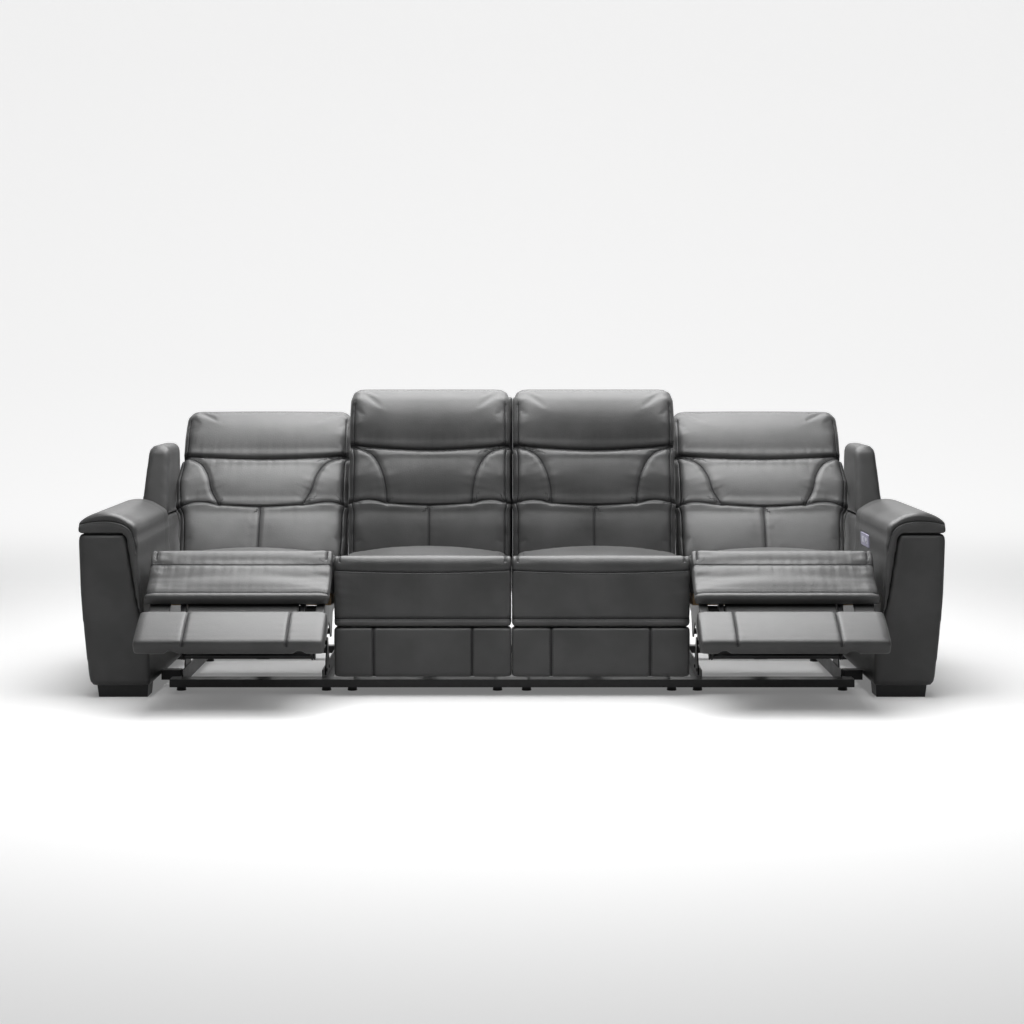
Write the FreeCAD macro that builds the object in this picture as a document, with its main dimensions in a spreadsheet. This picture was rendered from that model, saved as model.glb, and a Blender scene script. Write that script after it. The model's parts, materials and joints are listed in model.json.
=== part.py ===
"""Four-seat power reclining sofa.

The frame: millimetres, +Z up, X along the row of seats, the sitter faces -Y.
The origin is on the floor, at the middle of the sofa as it stands here: both end
seats open with their leg rests out, both middle seats closed.

Each seat is drawn closed, in its own frame: X from the middle of its mechanism,
Y as the depth behind the closed leg rests' front, Z from the floor. Its pieces are
then placed by how far that seat is open.
"""
import FreeCAD
import Part
import Sketcher
import math
import os
import re
from FreeCAD import Placement, Rotation, Vector

doc = FreeCAD.newDocument("reclining_sofa")
sheet = doc.addObject("Spreadsheet::Sheet", "size")

SIZES = [
    ("front_to_middle", 375, "depth of the origin behind the closed leg rests"),
    ("seat_pitch", 600, "one seat to the next"),
    ("end_seat_outer", 1212, "outer side of an end cushion, from the sofa's middle"),
    ("end_mechanism_at", 889, "middle of an end mechanism, from the sofa's middle"),
    ("seat_gap", 3, "half the gap between neighbouring cushions"),
    ("end_gap", 6, "gap from an end cushion to its neighbour's boundary"),
    ("seat_fit", 0.3, "gap where one piece rests on another"),
    ("run_fit", 0.3, "radial clearance of a pin in its hole"),
    ("tilt_open", 4, "degrees the seat tilts back when open"),
    ("recline_open", 16, "degrees the back turns on the seat when open"),
    ("chaise_open", 56, "degrees the leg rest swings up when open"),
    ("footrest_travel", 70, "slide of the foot pad out of the leg rest when open"),
    ("tilt_pin_deep", 240, "seat tilt pin"),
    ("tilt_pin_high", 150, "seat tilt pin"),
    ("back_pin_deep", 650, "back recline pin"),
    ("back_pin_high", 290, "back recline pin"),
    ("hinge_deep", 20, "leg rest hinge"),
    ("hinge_high", 415, "leg rest hinge"),
    ("link_pin_deep", 140, "rear link pin on the side plate"),
    ("link_pin_high", 260, "rear link pin on the side plate"),
    ("foot_pin_deep", 70, "front link pin on the foot bracket, closed"),
    ("foot_pin_high", 190, "front link pin on the foot bracket, closed"),
    ("rear_link_long", 190, "between pins"),
    ("front_link_long", 221.5, "between pins"),
    ("drive_arm_long", 60, "link pin to drive tube"),
    ("motor_pin_deep", 500, "rear pin of the drive"),
    ("motor_pin_high", 170, "rear pin of the drive"),
    ("drive_tube_long", 235, "square outer tube of the drive, from its rear pin"),
    ("drive_tube_wide", 26, "square outer tube of the drive"),
    ("drive_tube_wall", 3, "square outer tube of the drive"),
    ("drive_rod_wide", 19, "square rod of the drive"),
    ("gearbox_rear", 40, "gearbox, from the drive's rear pin"),
    ("gearbox_long", 90, "gearbox"),
    ("gearbox_wide", 60, "gearbox"),
    ("gearbox_drop", 52, "underside of the gearbox below the drive's axis"),
    ("motor_drop", 104, "lower end of the motor below the drive's axis"),
    ("motor_radius", 24, "motor"),
    ("pusher_gap", 5.4, "gap between the pusher and the drive tube, closed"),
    ("pusher_wide", 44, "pusher"),
    ("pusher_tall", 56, "pusher"),
    ("pusher_thick", 6, "pusher"),
    ("plate_thick", 4, "steel plates and links"),
    ("lane", 8, "one plate to the next across the mechanism"),
    ("side_plate_in", 230, "inner face of a side plate, from the seat's middle"),
    ("link_wide", 26, "width of a link"),
    ("tube_radius", 10, "cross tube at the knee"),
    ("drive_tube_radius", 8, "cross tube that the drive pushes"),
    ("stay_tube_radius", 11, "cross tubes between the side plates"),
    ("stay_tube_deep", 330, "front cross tube"),
    ("stay_tube_high", 262, "front cross tube"),
    ("pin_radius", 6, "link pins"),
    ("tilt_pin_radius", 8, "tilt pin"),
    ("back_pin_radius", 9, "recline pin"),
    ("deck_low", 290, "underside of the seat's wooden frame"),
    ("deck_high", 330, "top of the seat's wooden frame"),
    ("deck_front", 76, "front of the wooden frame"),
    ("deck_rear", 500, "rear of the wooden frame"),
    ("deck_rail", 30, "width of a deck rail"),
    ("deck_inset", 10, "deck inside the cushion's side"),
    ("strap_wide", 50, "elastic webbing"),
    ("strap_thick", 3, "elastic webbing"),
    ("lip_low", 437, "underside of the cushion's front lip"),
    ("lip_front", -6, "front of the cushion's lip"),
    ("seat_front_high", 463, "top of the cushion at its front"),
    ("seat_rear_high", 440, "top of the cushion at its rear"),
    ("seat_crown", 12, "rise of the cushion's top in the middle"),
    ("seat_rear", 508, "rear of the cushion"),
    ("chaise_thick", 40, "leg rest pad"),
    ("chaise_low", 238, "lower end of the leg rest pad"),
    ("chaise_seam_high", 267, "stitched seam of the leg rest pad"),
    ("foot_high", 236, "top of the foot pad"),
    ("foot_low", 67, "bottom of the foot pad"),
    ("foot_thick", 55, "foot pad"),
    ("foot_seam_at", 165, "vertical seams of the foot pad, from its middle"),
    ("neck_long", 110, "tongue of the foot pad behind the leg rest"),
    ("neck_half_wide", 184, "tongue, from its middle"),
    ("slide_in", 188, "inner side of a slide tube, from the seat's middle"),
    ("slide_wide", 18, "slide tube"),
    ("slide_deep", 19, "slide tube"),
    ("slide_low", 245, "lower end of a slide tube"),
    ("slide_high", 395, "upper end of a slide tube"),
    ("slide_wall", 2.5, "wall of a slide tube"),
    ("slide_fit", 0.5, "clearance of the bar in its slide tube"),
    ("back_lean", 12, "degrees a closed back leans"),
    ("back_foot_deep", 530, "reference point of a back's front"),
    ("back_foot_high", 460, "reference point of a back's front"),
    ("back_pad_thick", 120, "back cushion"),
    ("back_shell_thick", 105, "upholstered frame behind the cushion"),
    ("back_long", 588, "reference point to the top of a back cushion"),
    ("back_seam_up", 155, "lower seam of a back, along the lean"),
    ("back_crease_up", 356, "crease under the headrest, along the lean"),
    ("end_back_low_outer", 1222, "outer side of an end back beside the arm"),
    ("end_back_outer", 1252, "widest outer side of an end back"),
    ("end_back_top_outer", 1234, "outer side of an end back at the headrest"),
    ("arm_front", -20, "front of an arm"),
    ("arm_long", 920, "depth of an arm"),
    ("arm_low", 42, "underside of an arm"),
    ("arm_high", 556, "top of an arm's panel"),
    ("arm_wide", 160, "width of an arm at its top"),
    ("arm_waist_out", 40, "inner side of an arm at its waist, out from its foot"),
    ("arm_waist_down", 223, "waist of an arm's inner side, below its top"),
    ("arm_swell_up", 106, "where an arm's inner side starts to slope, above its underside"),
    ("arm_outer_low", 1414, "outer side of an arm at its foot"),
    ("arm_inner_low", 1219, "inner side of an arm at its foot"),
    ("arm_inner_high", 1292, "inner side of an arm at its top"),
    ("arm_pad_thick", 38, "upholstered pad over an arm, at the edge"),
    ("arm_pad_crown", 34, "rise of the arm pad's top"),
    ("arm_pad_inner", 1257, "inner side of the arm pad at its top"),
    ("drape_long", 300, "inner drape of an arm pad, below the arm's top"),
    ("ledge_thick", 8, "arm pad under a wing"),
    ("wing_high", 818, "top of a wing"),
    ("wing_deep", 308, "wing at its foot, front to rear"),
    ("wing_gap", 6, "gap between the arm pad's raised part and a wing"),
    ("wing_wide", 102, "wing at its foot"),
    ("wing_top_wide", 74, "wing at its top"),
    ("wing_lean", 52, "front of a wing, foot to top"),
    ("wing_radius", 18, "upright edges of a wing"),
    ("rail_end_gap", 55, "gap from a cross rail's end to an arm"),
    ("rail_low", 25, "underside of the base rails"),
    ("rail_high", 27, "height of a cross rail"),
    ("rail_front", 50, "front of the front rail"),
    ("rail_deep", 60, "front rail"),
    ("rear_rail_front", 790, "front of the rear rail"),
    ("rear_rail_deep", 40, "rear rail"),
    ("rail_wall", 3, "wall of the base rails"),
    ("side_rail_web", 50, "height of a side rail"),
    ("side_rail_foot", 24, "width of a side rail"),
    ("glide_radius", 17, "floor glide"),
    ("glide_top_radius", 13, "floor glide"),
    ("glide_inset", 30, "floor glide from the end of its side rail"),
    ("foot_block_wide", 172, "block foot"),
    ("foot_block_deep", 90, "block foot"),
    ("foot_block_taper", 4, "block foot, each side"),
    ("switch_deep", 376, "middle of the control plate"),
    ("switch_high", 497, "middle of the control plate"),
    ("switch_long", 150, "control plate"),
    ("switch_tall", 44, "control plate"),
    ("switch_thick", 9, "control plate"),
    ("switch_proud", 2.5, "control plate in front of the arm pad"),
    ("button_long", 34, "button"),
    ("button_tall", 20, "button"),
    ("button_thick", 4.5, "button"),
    ("button_travel", 1.5, "button"),
    ("button_gap", 0.4, "clearance round a button"),
    ("button_space", 30, "half the distance between the buttons' middles"),
]
for row, (alias, value, note) in enumerate(SIZES, start=1):
    sheet.set("A%d" % row, alias)
    sheet.set("B%d" % row, str(value))
    sheet.set("C%d" % row, note)
    sheet.setAlias("B%d" % row, alias)
doc.recompute()
ALIASES = {alias for alias, value, note in SIZES}


def formula(text):
    """A formula in the sheet's names, written as the document's expressions need it."""
    return re.sub("[a-z_]+", lambda word: prefixed(word.group()), text)


def prefixed(word):
    """A sheet name gets the sheet's prefix; a function's name stays."""
    return "size." + word if word in ALIASES else word


def measure(text):
    """The value of a formula, in millimetres or degrees."""
    return float(sheet.evalExpression(formula(text)))


def bind(thing, prop, text):
    """Ties one property of an object to a formula."""
    thing.setExpression(prop, formula(text))


def box(name, x, y, z, wide, deep, high):
    """A block with its lowest corner at x, y, z."""
    block = doc.addObject("Part::Box", name)
    for prop, text in (("Length", wide), ("Width", deep), ("Height", high)):
        bind(block, prop, text)
    for axis, text in (("x", x), ("y", y), ("z", z)):
        bind(block, "Placement.Base." + axis, text)
    return block


def cross_bar(name, x, y, z, radius, length):
    """A round bar along X that starts at x."""
    bar = doc.addObject("Part::Cylinder", name)
    bar.Placement = Placement(Vector(), Rotation(Vector(0, 1, 0), 90))
    bind(bar, "Radius", radius)
    bind(bar, "Height", length)
    for axis, text in (("x", x), ("y", y), ("z", z)):
        bind(bar, "Placement.Base." + axis, text)
    return bar


def post(name, x, y, z, low_radius, top_radius, height):
    """A tapered round post that stands at x, y, z."""
    cone = doc.addObject("Part::Cone", name)
    bind(cone, "Radius1", low_radius)
    bind(cone, "Radius2", top_radius)
    bind(cone, "Height", height)
    for axis, text in (("x", x), ("y", y), ("z", z)):
        bind(cone, "Placement.Base." + axis, text)
    return cone


def fused(name, pieces):
    """Several solids welded into one."""
    union = doc.addObject("Part::MultiFuse", name)
    union.Shapes = pieces
    return union


def cut(name, base, tool):
    """A base with a tool's shape taken out of it."""
    result = doc.addObject("Part::Cut", name)
    result.Base = base
    result.Tool = tool
    return result


def mirrored(name, piece):
    """The same piece on the other side of the seat or the sofa."""
    other = doc.addObject("Part::Mirroring", name)
    other.Source = piece
    other.Normal = (1, 0, 0)
    return other


def origin_plane(body, role):
    """One of a body's own planes."""
    return next(item for item in body.Origin.OriginFeatures if item.Role == role)


def pin_point(sketch, element, end, across, up):
    """Holds one point of a sketch at two formulas."""
    for kind, text in (("DistanceX", across), ("DistanceY", up)):
        held = Sketcher.Constraint(kind, -1, 1, element, end, measure(text))
        bind(sketch, "Constraints[%d]" % sketch.addConstraint(held), text)


def draw_corners(sketch, corners):
    """A closed outline of straight lines through the corners."""
    points = [Vector(measure(across), measure(up), 0) for across, up in corners]
    count = len(points)
    for index, point in enumerate(points):
        sketch.addGeometry(Part.LineSegment(point, points[(index + 1) % count]), False)
    for index in range(count):
        join = Sketcher.Constraint("Coincident", index, 2, (index + 1) % count, 1)
        sketch.addConstraint(join)
    for index, (across, up) in enumerate(corners):
        pin_point(sketch, index, 1, across, up)


def draw_hole(sketch, across, up, radius):
    """A round hole in an outline."""
    centre = Vector(measure(across), measure(up), 0)
    circle = sketch.addGeometry(Part.Circle(centre, Vector(0, 0, 1), measure(radius)), False)
    pin_point(sketch, circle, 3, across, up)
    held = Sketcher.Constraint("Radius", circle, measure(radius))
    bind(sketch, "Constraints[%d]" % sketch.addConstraint(held), radius)


def draw_strap(sketch, length, radius):
    """A straight link's outline: round ends about two pins, the first at the origin."""
    long = measure(length)
    round_end = measure(radius)
    quarter = math.pi / 2
    near = Part.Circle(Vector(0, 0, 0), Vector(0, 0, 1), round_end)
    far = Part.Circle(Vector(long, 0, 0), Vector(0, 0, 1), round_end)
    sketch.addGeometry(Part.ArcOfCircle(near, quarter, 3 * quarter), False)
    sketch.addGeometry(Part.ArcOfCircle(far, -quarter, quarter), False)
    top = Part.LineSegment(Vector(long, round_end, 0), Vector(0, round_end, 0))
    bottom = Part.LineSegment(Vector(0, -round_end, 0), Vector(long, -round_end, 0))
    sketch.addGeometry(top, False)
    sketch.addGeometry(bottom, False)
    for line, start, end in ((2, (1, 2), (0, 1)), (3, (0, 2), (1, 1))):
        sketch.addConstraint(Sketcher.Constraint("Tangent", line, 1, start[0], start[1]))
        sketch.addConstraint(Sketcher.Constraint("Tangent", line, 2, end[0], end[1]))
    sketch.addConstraint(Sketcher.Constraint("Coincident", 0, 3, -1, 1))
    sketch.addConstraint(Sketcher.Constraint("PointOnObject", 1, 3, -1))
    held = Sketcher.Constraint("DistanceX", -1, 1, 1, 3, long)
    bind(sketch, "Constraints[%d]" % sketch.addConstraint(held), length)
    held = Sketcher.Constraint("Radius", 0, round_end)
    bind(sketch, "Constraints[%d]" % sketch.addConstraint(held), radius)


def side_body(name, start, thick, draw):
    """A body cut from flat stock that lies across X, from start to start + thick."""
    body = doc.addObject("PartDesign::Body", name)
    sketch = body.newObject("Sketcher::SketchObject", name + "_outline")
    sketch.AttachmentSupport = (origin_plane(body, "YZ_Plane"), [""])
    sketch.MapMode = "FlatFace"
    bind(sketch, "AttachmentOffset.Base.z", start)
    draw(sketch)
    pad = body.newObject("PartDesign::Pad", name + "_pad")
    pad.Profile = sketch
    bind(pad, "Length", thick)
    return body


def round_edges(body, name, radius, wanted):
    """Rounds the edges of a body that wanted() picks."""
    doc.recompute()
    tip = body.Tip
    edges = tip.Shape.Edges
    names = ["Edge%d" % (i + 1) for i, edge in enumerate(edges) if wanted(edge)]
    fillet = body.newObject("PartDesign::Fillet", name)
    fillet.Base = (tip, names)
    bind(fillet, "Radius", radius)
    return body


def ring(items):
    """A closed wire: a point starts a line to the next, a (via,) before it bends that line."""
    edges = []
    points = [item for item in items if isinstance(item, Vector)]
    via = None
    previous = None
    for item in items + [points[0]]:
        if isinstance(item, tuple):
            via = item[0]
            continue
        if previous is not None:
            if via is None:
                edges.append(Part.makeLine(previous, item))
            else:
                edges.append(Part.Arc(previous, via, item).toShape())
        previous = item
        via = None
    return Part.Wire(edges)


def soft(name, wires):
    """A soft form skinned over its outlines, one after the other."""
    form = doc.addObject("Part::Feature", name)
    form.Shape = Part.makeLoft(wires, True, True)
    return form


def turned(deep, high, degrees):
    """A turn about an axis along -X: the top goes back, the front goes up."""
    axis = Vector(0, deep, high)
    return Placement(Vector(), Rotation(Vector(-1, 0, 0), degrees), axis)


def finish(label, pieces, place):
    """One named sub-part: its solids as one group, set in its place."""
    if len(pieces) == 1:
        node = pieces[0]
    else:
        node = doc.addObject("Part::Compound", label)
        node.Links = pieces
    node.Label = label
    doc.recompute()
    node.Placement = place
    NODES.append(node)
    return node


NODES = []


def knee(pin, foot, upper, lower, behind):
    """Where two links of the given lengths meet; the lower or the rearmost of both places."""
    reach = foot - pin
    along = (upper ** 2 - lower ** 2 + reach.Length ** 2) / (2 * reach.Length)
    away = math.sqrt(upper ** 2 - along ** 2)
    direction = Vector(reach).normalize()
    aside = Vector(0, -direction.z, direction.y) * away
    places = [pin + direction * along + aside, pin + direction * along - aside]
    return max(places, key=lambda p: p.y) if behind else min(places, key=lambda p: p.z)


def heading(vector):
    """The turn about -X that brings +Y onto a vector."""
    return math.degrees(math.atan2(-vector.z, vector.y))


def linkage():
    """Headings of the rear link, the front link on it and the drive, closed and open."""
    pin = Vector(0, measure("link_pin_deep"), measure("link_pin_high"))
    foot = Vector(0, measure("foot_pin_deep"), measure("foot_pin_high"))
    drive = Vector(0, measure("motor_pin_deep"), measure("motor_pin_high"))
    upper = measure("rear_link_long")
    lower = measure("front_link_long")
    states = []
    for share in (0, 1):
        held = chaise_place(share).multVec(foot - Vector(0, 0, measure("footrest_travel") * share))
        joint = knee(pin, held, upper, lower, share == 0)
        rear = heading(joint - pin)
        front = heading(held - joint) - rear
        arm = pin + (joint - pin) * (measure("drive_arm_long") / upper)
        states.append((rear, front % 360, heading(drive - arm), (arm - drive).Length))
    return states


def chaise_place(share):
    """The leg rest's turn on the seat at a share of its opening."""
    return turned(measure("hinge_deep"), measure("hinge_high"), measure("chaise_open") * share)


def between(states, index, share):
    """One value of the linkage at a share of the opening."""
    return states[0][index] + (states[1][index] - states[0][index]) * share


class Seat:
    """One seat of the row: where it stands, how far it is open, how wide its cushions are."""

    def __init__(self, number, side, end, share):
        self.number = number
        self.tag = "_%d" % number
        self.share = share
        half = measure("seat_pitch") / 2
        self.middle = side * (measure("end_mechanism_at") if end else half)
        if end:
            near = -side * (self.middle * side - measure("seat_pitch") - measure("end_gap"))
            far = side * (measure("end_seat_outer") - self.middle * side)
        else:
            near = -half + measure("seat_gap")
            far = -near
        self.low, self.high = min(near, far), max(near, far)
        self.end = end
        self.side = side
        states = linkage()
        shift = Placement(Vector(self.middle, -measure("front_to_middle"), 0), Rotation())
        tilt = turned(measure("tilt_pin_deep"), measure("tilt_pin_high"),
                      measure("tilt_open") * share)
        self.seat = shift * tilt
        self.back = self.seat * turned(measure("back_pin_deep"), measure("back_pin_high"),
                                       measure("recline_open") * share)
        self.chaise = self.seat * chaise_place(share)
        slide = Placement(Vector(0, 0, -measure("footrest_travel") * share), Rotation())
        self.footrest = self.chaise * slide
        pin = Vector(0, measure("link_pin_deep"), measure("link_pin_high"))
        axis = Vector(-1, 0, 0)
        self.rear_link = self.seat * Placement(pin, Rotation(axis, between(states, 0, share)))
        knee_at = Vector(0, measure("rear_link_long"), 0)
        self.front_link = self.rear_link * Placement(
            knee_at, Rotation(axis, between(states, 1, share)))
        motor = Vector(0, measure("motor_pin_deep"), measure("motor_pin_high"))
        self.drive = self.seat * Placement(motor, Rotation(axis, between(states, 2, share)))
        self.drive_closed = states[0][3]
        reach = between(states, 3, share) - self.drive_closed
        self.rod = self.drive * Placement(Vector(0, -reach, 0), Rotation())


def seat_cushion(seat):
    """Leather seat cushion: crowned top, a lip over the leg rest's hinge, sides drawn in."""
    wires = []
    half = (seat.high - seat.low) / 2
    middle = (seat.high + seat.low) / 2
    for share, inset in ((-1, 20), (-0.96, 8), (-0.86, 2), (-0.5, 0), (0, 0),
                         (0.5, 0), (0.86, 2), (0.96, 8), (1, 20)):
        x = middle + half * share
        crown = measure("seat_crown") * (1 - share ** 2)
        front = measure("lip_front") + inset
        top = measure("seat_front_high") - inset
        rear_top = measure("seat_rear_high") - inset
        under = measure("lip_low")
        rear = measure("seat_rear") - inset / 2
        low = measure("deck_high")
        foam = measure("deck_front")
        wires.append(ring([
            Vector(x, foam, low),
            Vector(x, foam, under),
            Vector(x, front + 8, under),
            (Vector(x, front + 3 - inset / 6, (under + top) / 2),),
            Vector(x, front + 26, top),
            (Vector(x, (front + rear) / 2, (top + rear_top) / 2 + crown),),
            Vector(x, rear - 24, rear_top),
            (Vector(x, rear - 7, rear_top - 7),),
            Vector(x, rear, rear_top - 24),
            Vector(x, rear - 8, low),
        ]))
    cushion = soft("seat_cushion_form" + seat.tag, wires)
    return finish("seat%s_cushion" % seat.tag, [cushion], seat.seat)


def seat_deck(seat):
    """Wooden frame of four rails with elastic webbing between its front and rear rails."""
    name = "deck" + seat.tag
    left = "%g + deck_inset" % seat.low
    wide = "%g - 2 * deck_inset" % (seat.high - seat.low)
    high = "deck_high - deck_low - seat_fit"
    inner = "deck_rear - deck_front - 2 * deck_rail"
    right = "%g - deck_inset - deck_rail" % seat.high
    rails = [
        box(name + "_front", left, "deck_front", "deck_low", wide, "deck_rail", high),
        box(name + "_rear", left, "deck_rear - deck_rail", "deck_low", wide, "deck_rail", high),
        box(name + "_left", left, "deck_front + deck_rail", "deck_low", "deck_rail", inner, high),
        box(name + "_right", right, "deck_front + deck_rail", "deck_low", "deck_rail", inner, high),
    ]
    straps = 5
    for index in range(straps):
        x = "(%s) + deck_rail + (%s - 2 * deck_rail) * %g - strap_wide / 2" % (
            left, wide, (index + 0.5) / straps)
        rails.append(box(
            "%s_strap_%d" % (name, index), x, "deck_front + deck_rail + seat_fit",
            "deck_high - seat_fit - 2 * strap_thick", "strap_wide",
            inner + " - 2 * seat_fit", "strap_thick"))
    return finish("seat%s_deck" % seat.tag, rails, seat.seat)


def side_plates(seat):
    """The pair of steel side plates that carry everything, with their cross tubes."""
    name = "plate" + seat.tag
    top = "deck_low - seat_fit"
    corners = [
        ("hinge_deep - 12", "hinge_high - 11"), ("hinge_deep - 12", "hinge_high + 9"),
        ("hinge_deep - 2", "hinge_high + 14"), ("deck_front - 8", "hinge_high + 14"),
        ("deck_front - 4", "hinge_high + 6"), ("deck_front - 4", top),
        ("back_pin_deep - 90", top), ("back_pin_deep - 25", "back_pin_high + 26"),
        ("back_pin_deep + 25", "back_pin_high + 26"), ("back_pin_deep + 30", "back_pin_high - 24"),
        ("back_pin_deep - 90", "back_pin_high - 55"), ("motor_pin_deep + 18", "motor_pin_high - 20"),
        ("motor_pin_deep - 18", "motor_pin_high - 20"), ("motor_pin_deep - 90", "link_pin_high - 45"),
        ("tilt_pin_deep + 30", "tilt_pin_high - 20"), ("tilt_pin_deep - 30", "tilt_pin_high - 20"),
        ("link_pin_deep - 15", "link_pin_high - 20"), ("deck_front - 30", "link_pin_high - 20"),
        ("deck_front - 30", "hinge_high - 16"), ("hinge_deep", "hinge_high - 16"),
    ]

    def draw(sketch):
        draw_corners(sketch, corners)
        draw_hole(sketch, "tilt_pin_deep", "tilt_pin_high", "tilt_pin_radius + run_fit")

    plate = side_body(name, "side_plate_in", "plate_thick", draw)
    spot = Vector(0, measure("motor_pin_deep - 90"), measure("link_pin_high - 45"))
    plate = round_edges(plate, name + "_rounding", "18",
                        lambda edge: along_x_at(edge, spot) or along_x_at(
                            edge, Vector(0, measure("back_pin_deep - 90"), measure(top))))
    pins = [
        cross_bar(name + "_link_pin", "side_plate_in - lane - 3", "link_pin_deep",
                  "link_pin_high", "pin_radius", "lane + 3 + plate_thick / 2"),
        cross_bar(name + "_link_head", "side_plate_in - lane - 3", "link_pin_deep",
                  "link_pin_high", "pin_radius + 3", "3 - seat_fit"),
        cross_bar(name + "_hinge_pin", "side_plate_in - lane - 3", "hinge_deep",
                  "hinge_high", "pin_radius", "lane + 3 + plate_thick / 2"),
        cross_bar(name + "_hinge_head", "side_plate_in - lane - 3", "hinge_deep",
                  "hinge_high", "pin_radius + 3", "3 - seat_fit"),
        cross_bar(name + "_back_pin", "side_plate_in - 30", "back_pin_deep",
                  "back_pin_high", "back_pin_radius", "30 + plate_thick / 2"),
    ]
    whole = fused(name + "_welded", [plate] + pins)
    tubes = [
        cross_bar(name + "_front_tube", "-side_plate_in", "stay_tube_deep", "stay_tube_high",
                  "stay_tube_radius", "2 * side_plate_in"),
        cross_bar(name + "_motor_tube", "-side_plate_in", "motor_pin_deep", "motor_pin_high",
                  "stay_tube_radius", "2 * side_plate_in"),
    ]
    pieces = [whole, mirrored(name + "_other", whole)] + tubes
    return finish("seat%s_side_plates" % seat.tag, pieces, seat.seat)


def along_x_at(edge, spot):
    """Whether an edge runs along X through a spot."""
    if len(edge.Vertexes) != 2:
        return False
    ends = [vertex.Point for vertex in edge.Vertexes]
    straight = all(abs(p.y - spot.y) < 0.01 and abs(p.z - spot.z) < 0.01 for p in ends)
    return straight and abs(ends[0].x - ends[1].x) > 0.5


def back_point(x, up, out):
    """A point of a back: across, along its lean, and out of its front."""
    lean = math.radians(measure("back_lean"))
    deep = measure("back_foot_deep") + up * math.sin(lean) - out * math.cos(lean)
    high = measure("back_foot_high") + up * math.cos(lean) + out * math.sin(lean)
    return Vector(x, deep, high)


def back_cushion(seat):
    """Leather back cushion: lower panel, lumbar roll and headrest, with a seam between each."""
    seam = measure("back_seam_up")
    crease = measure("back_crease_up")
    top = measure("back_long")
    thick = measure("back_pad_thick")
    low_side = measure("end_back_low_outer") - seat.middle * seat.side
    wide_side = measure("end_back_outer") - seat.middle * seat.side
    top_side = measure("end_back_top_outer") - seat.middle * seat.side
    stations = [
        (-77, -8, thick - 25, 6, low_side - 6), (-31, 2, thick - 8, 0, low_side - 2),
        (seam / 2, 11, thick, 0, low_side + 2), (seam - 14, 5, thick, 0, low_side + 8),
        (seam, -9, thick, 2, low_side + 14), (seam + 15, 9, thick, 0, wide_side - 8),
        ((seam + crease) / 2, 20, thick, 0, wide_side), (crease - 22, 8, thick, 0, top_side + 8),
        (crease, -12, thick, 3, top_side), (crease + 18, 7, thick, 0, top_side),
        (crease + 95, 16, thick, 0, top_side), (top - 46, 3, thick, 2, top_side - 2),
        (top - 13, -24, thick - 8, 11, top_side - 11), (top, -52, thick - 32, 32, top_side - 32),
    ]
    roll = 45
    wires = []
    for up, out, rear, inset, outer in stations:
        if seat.end:
            inner = -measure("end_mechanism_at - seat_pitch - end_gap") + inset
            low, high = sorted((inner * seat.side, outer * seat.side))
        else:
            low, high = seat.low + inset, seat.high - inset
        middle = (low + high) / 2
        side = max(-roll + out, -rear + 20)
        shoulder = out - 5
        wires.append(ring([
            back_point(low + 10, up, -rear), back_point(high - 10, up, -rear),
            back_point(high, up, side),
            (back_point(high - 12, up, (side + 2 * shoulder) / 3),),
            back_point(high - roll, up, shoulder),
            (back_point(middle, up, out),),
            back_point(low + roll, up, shoulder),
            (back_point(low + 12, up, (side + 2 * shoulder) / 3),),
            back_point(low, up, side),
        ]))
    cushion = soft("back_cushion_form" + seat.tag, wires)
    return finish("back%s_cushion" % seat.tag, [cushion], seat.back)


def back_shell(seat):
    """Upholstered wooden back frame behind the cushion, on two posts with the recline bushes."""
    name = "shell" + seat.tag
    front = measure("back_pad_thick + seat_fit")
    rear = front + measure("back_shell_thick")
    top = measure("back_long")
    foot = -60
    spots = [
        back_point(0, foot, -front), back_point(0, top - 14, -front),
        back_point(0, top - 10, -front - 45), back_point(0, top - 44, -rear),
        back_point(0, foot, -rear + 10),
    ]
    narrow = 8
    if seat.end:
        inner = -measure("end_mechanism_at - seat_pitch - end_gap")
        outer = measure("end_back_low_outer - end_mechanism_at")
        low, high = sorted((inner * seat.side, outer * seat.side))
    else:
        low, high = seat.low, seat.high
    low, high = low + narrow, high - narrow

    def draw(sketch):
        draw_corners(sketch, [("%.4f" % spot.y, "%.4f" % spot.z) for spot in spots])

    shell = side_body(name, "%g" % low, "%g" % (high - low), draw)
    shell = round_edges(shell, name + "_rounding", "16",
                        lambda edge: along_x_at(edge, spots[2]) or along_x_at(edge, spots[3]))
    under = measure("seat_fit")
    near = back_point(0, foot - under, -front - 6)
    far = back_point(0, foot - under, -rear + 16)
    corners = [
        ("back_pin_deep - 28", "back_pin_high"), ("back_pin_deep - 20", "back_pin_high - 20"),
        ("back_pin_deep", "back_pin_high - 28"), ("back_pin_deep + 20", "back_pin_high - 20"),
        ("back_pin_deep + 28", "back_pin_high"),
        ("%.4f" % far.y, "%.4f" % far.z), ("%.4f" % near.y, "%.4f" % near.z),
    ]

    def draw_post(sketch):
        draw_corners(sketch, corners)
        draw_hole(sketch, "back_pin_deep", "back_pin_high", "back_pin_radius + run_fit")

    upright = side_body(name + "_post", "side_plate_in - 42", "40", draw_post)
    pieces = [shell, upright, mirrored(name + "_post_other", upright)]
    return finish("back%s_shell" % seat.tag, pieces, seat.back)


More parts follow.
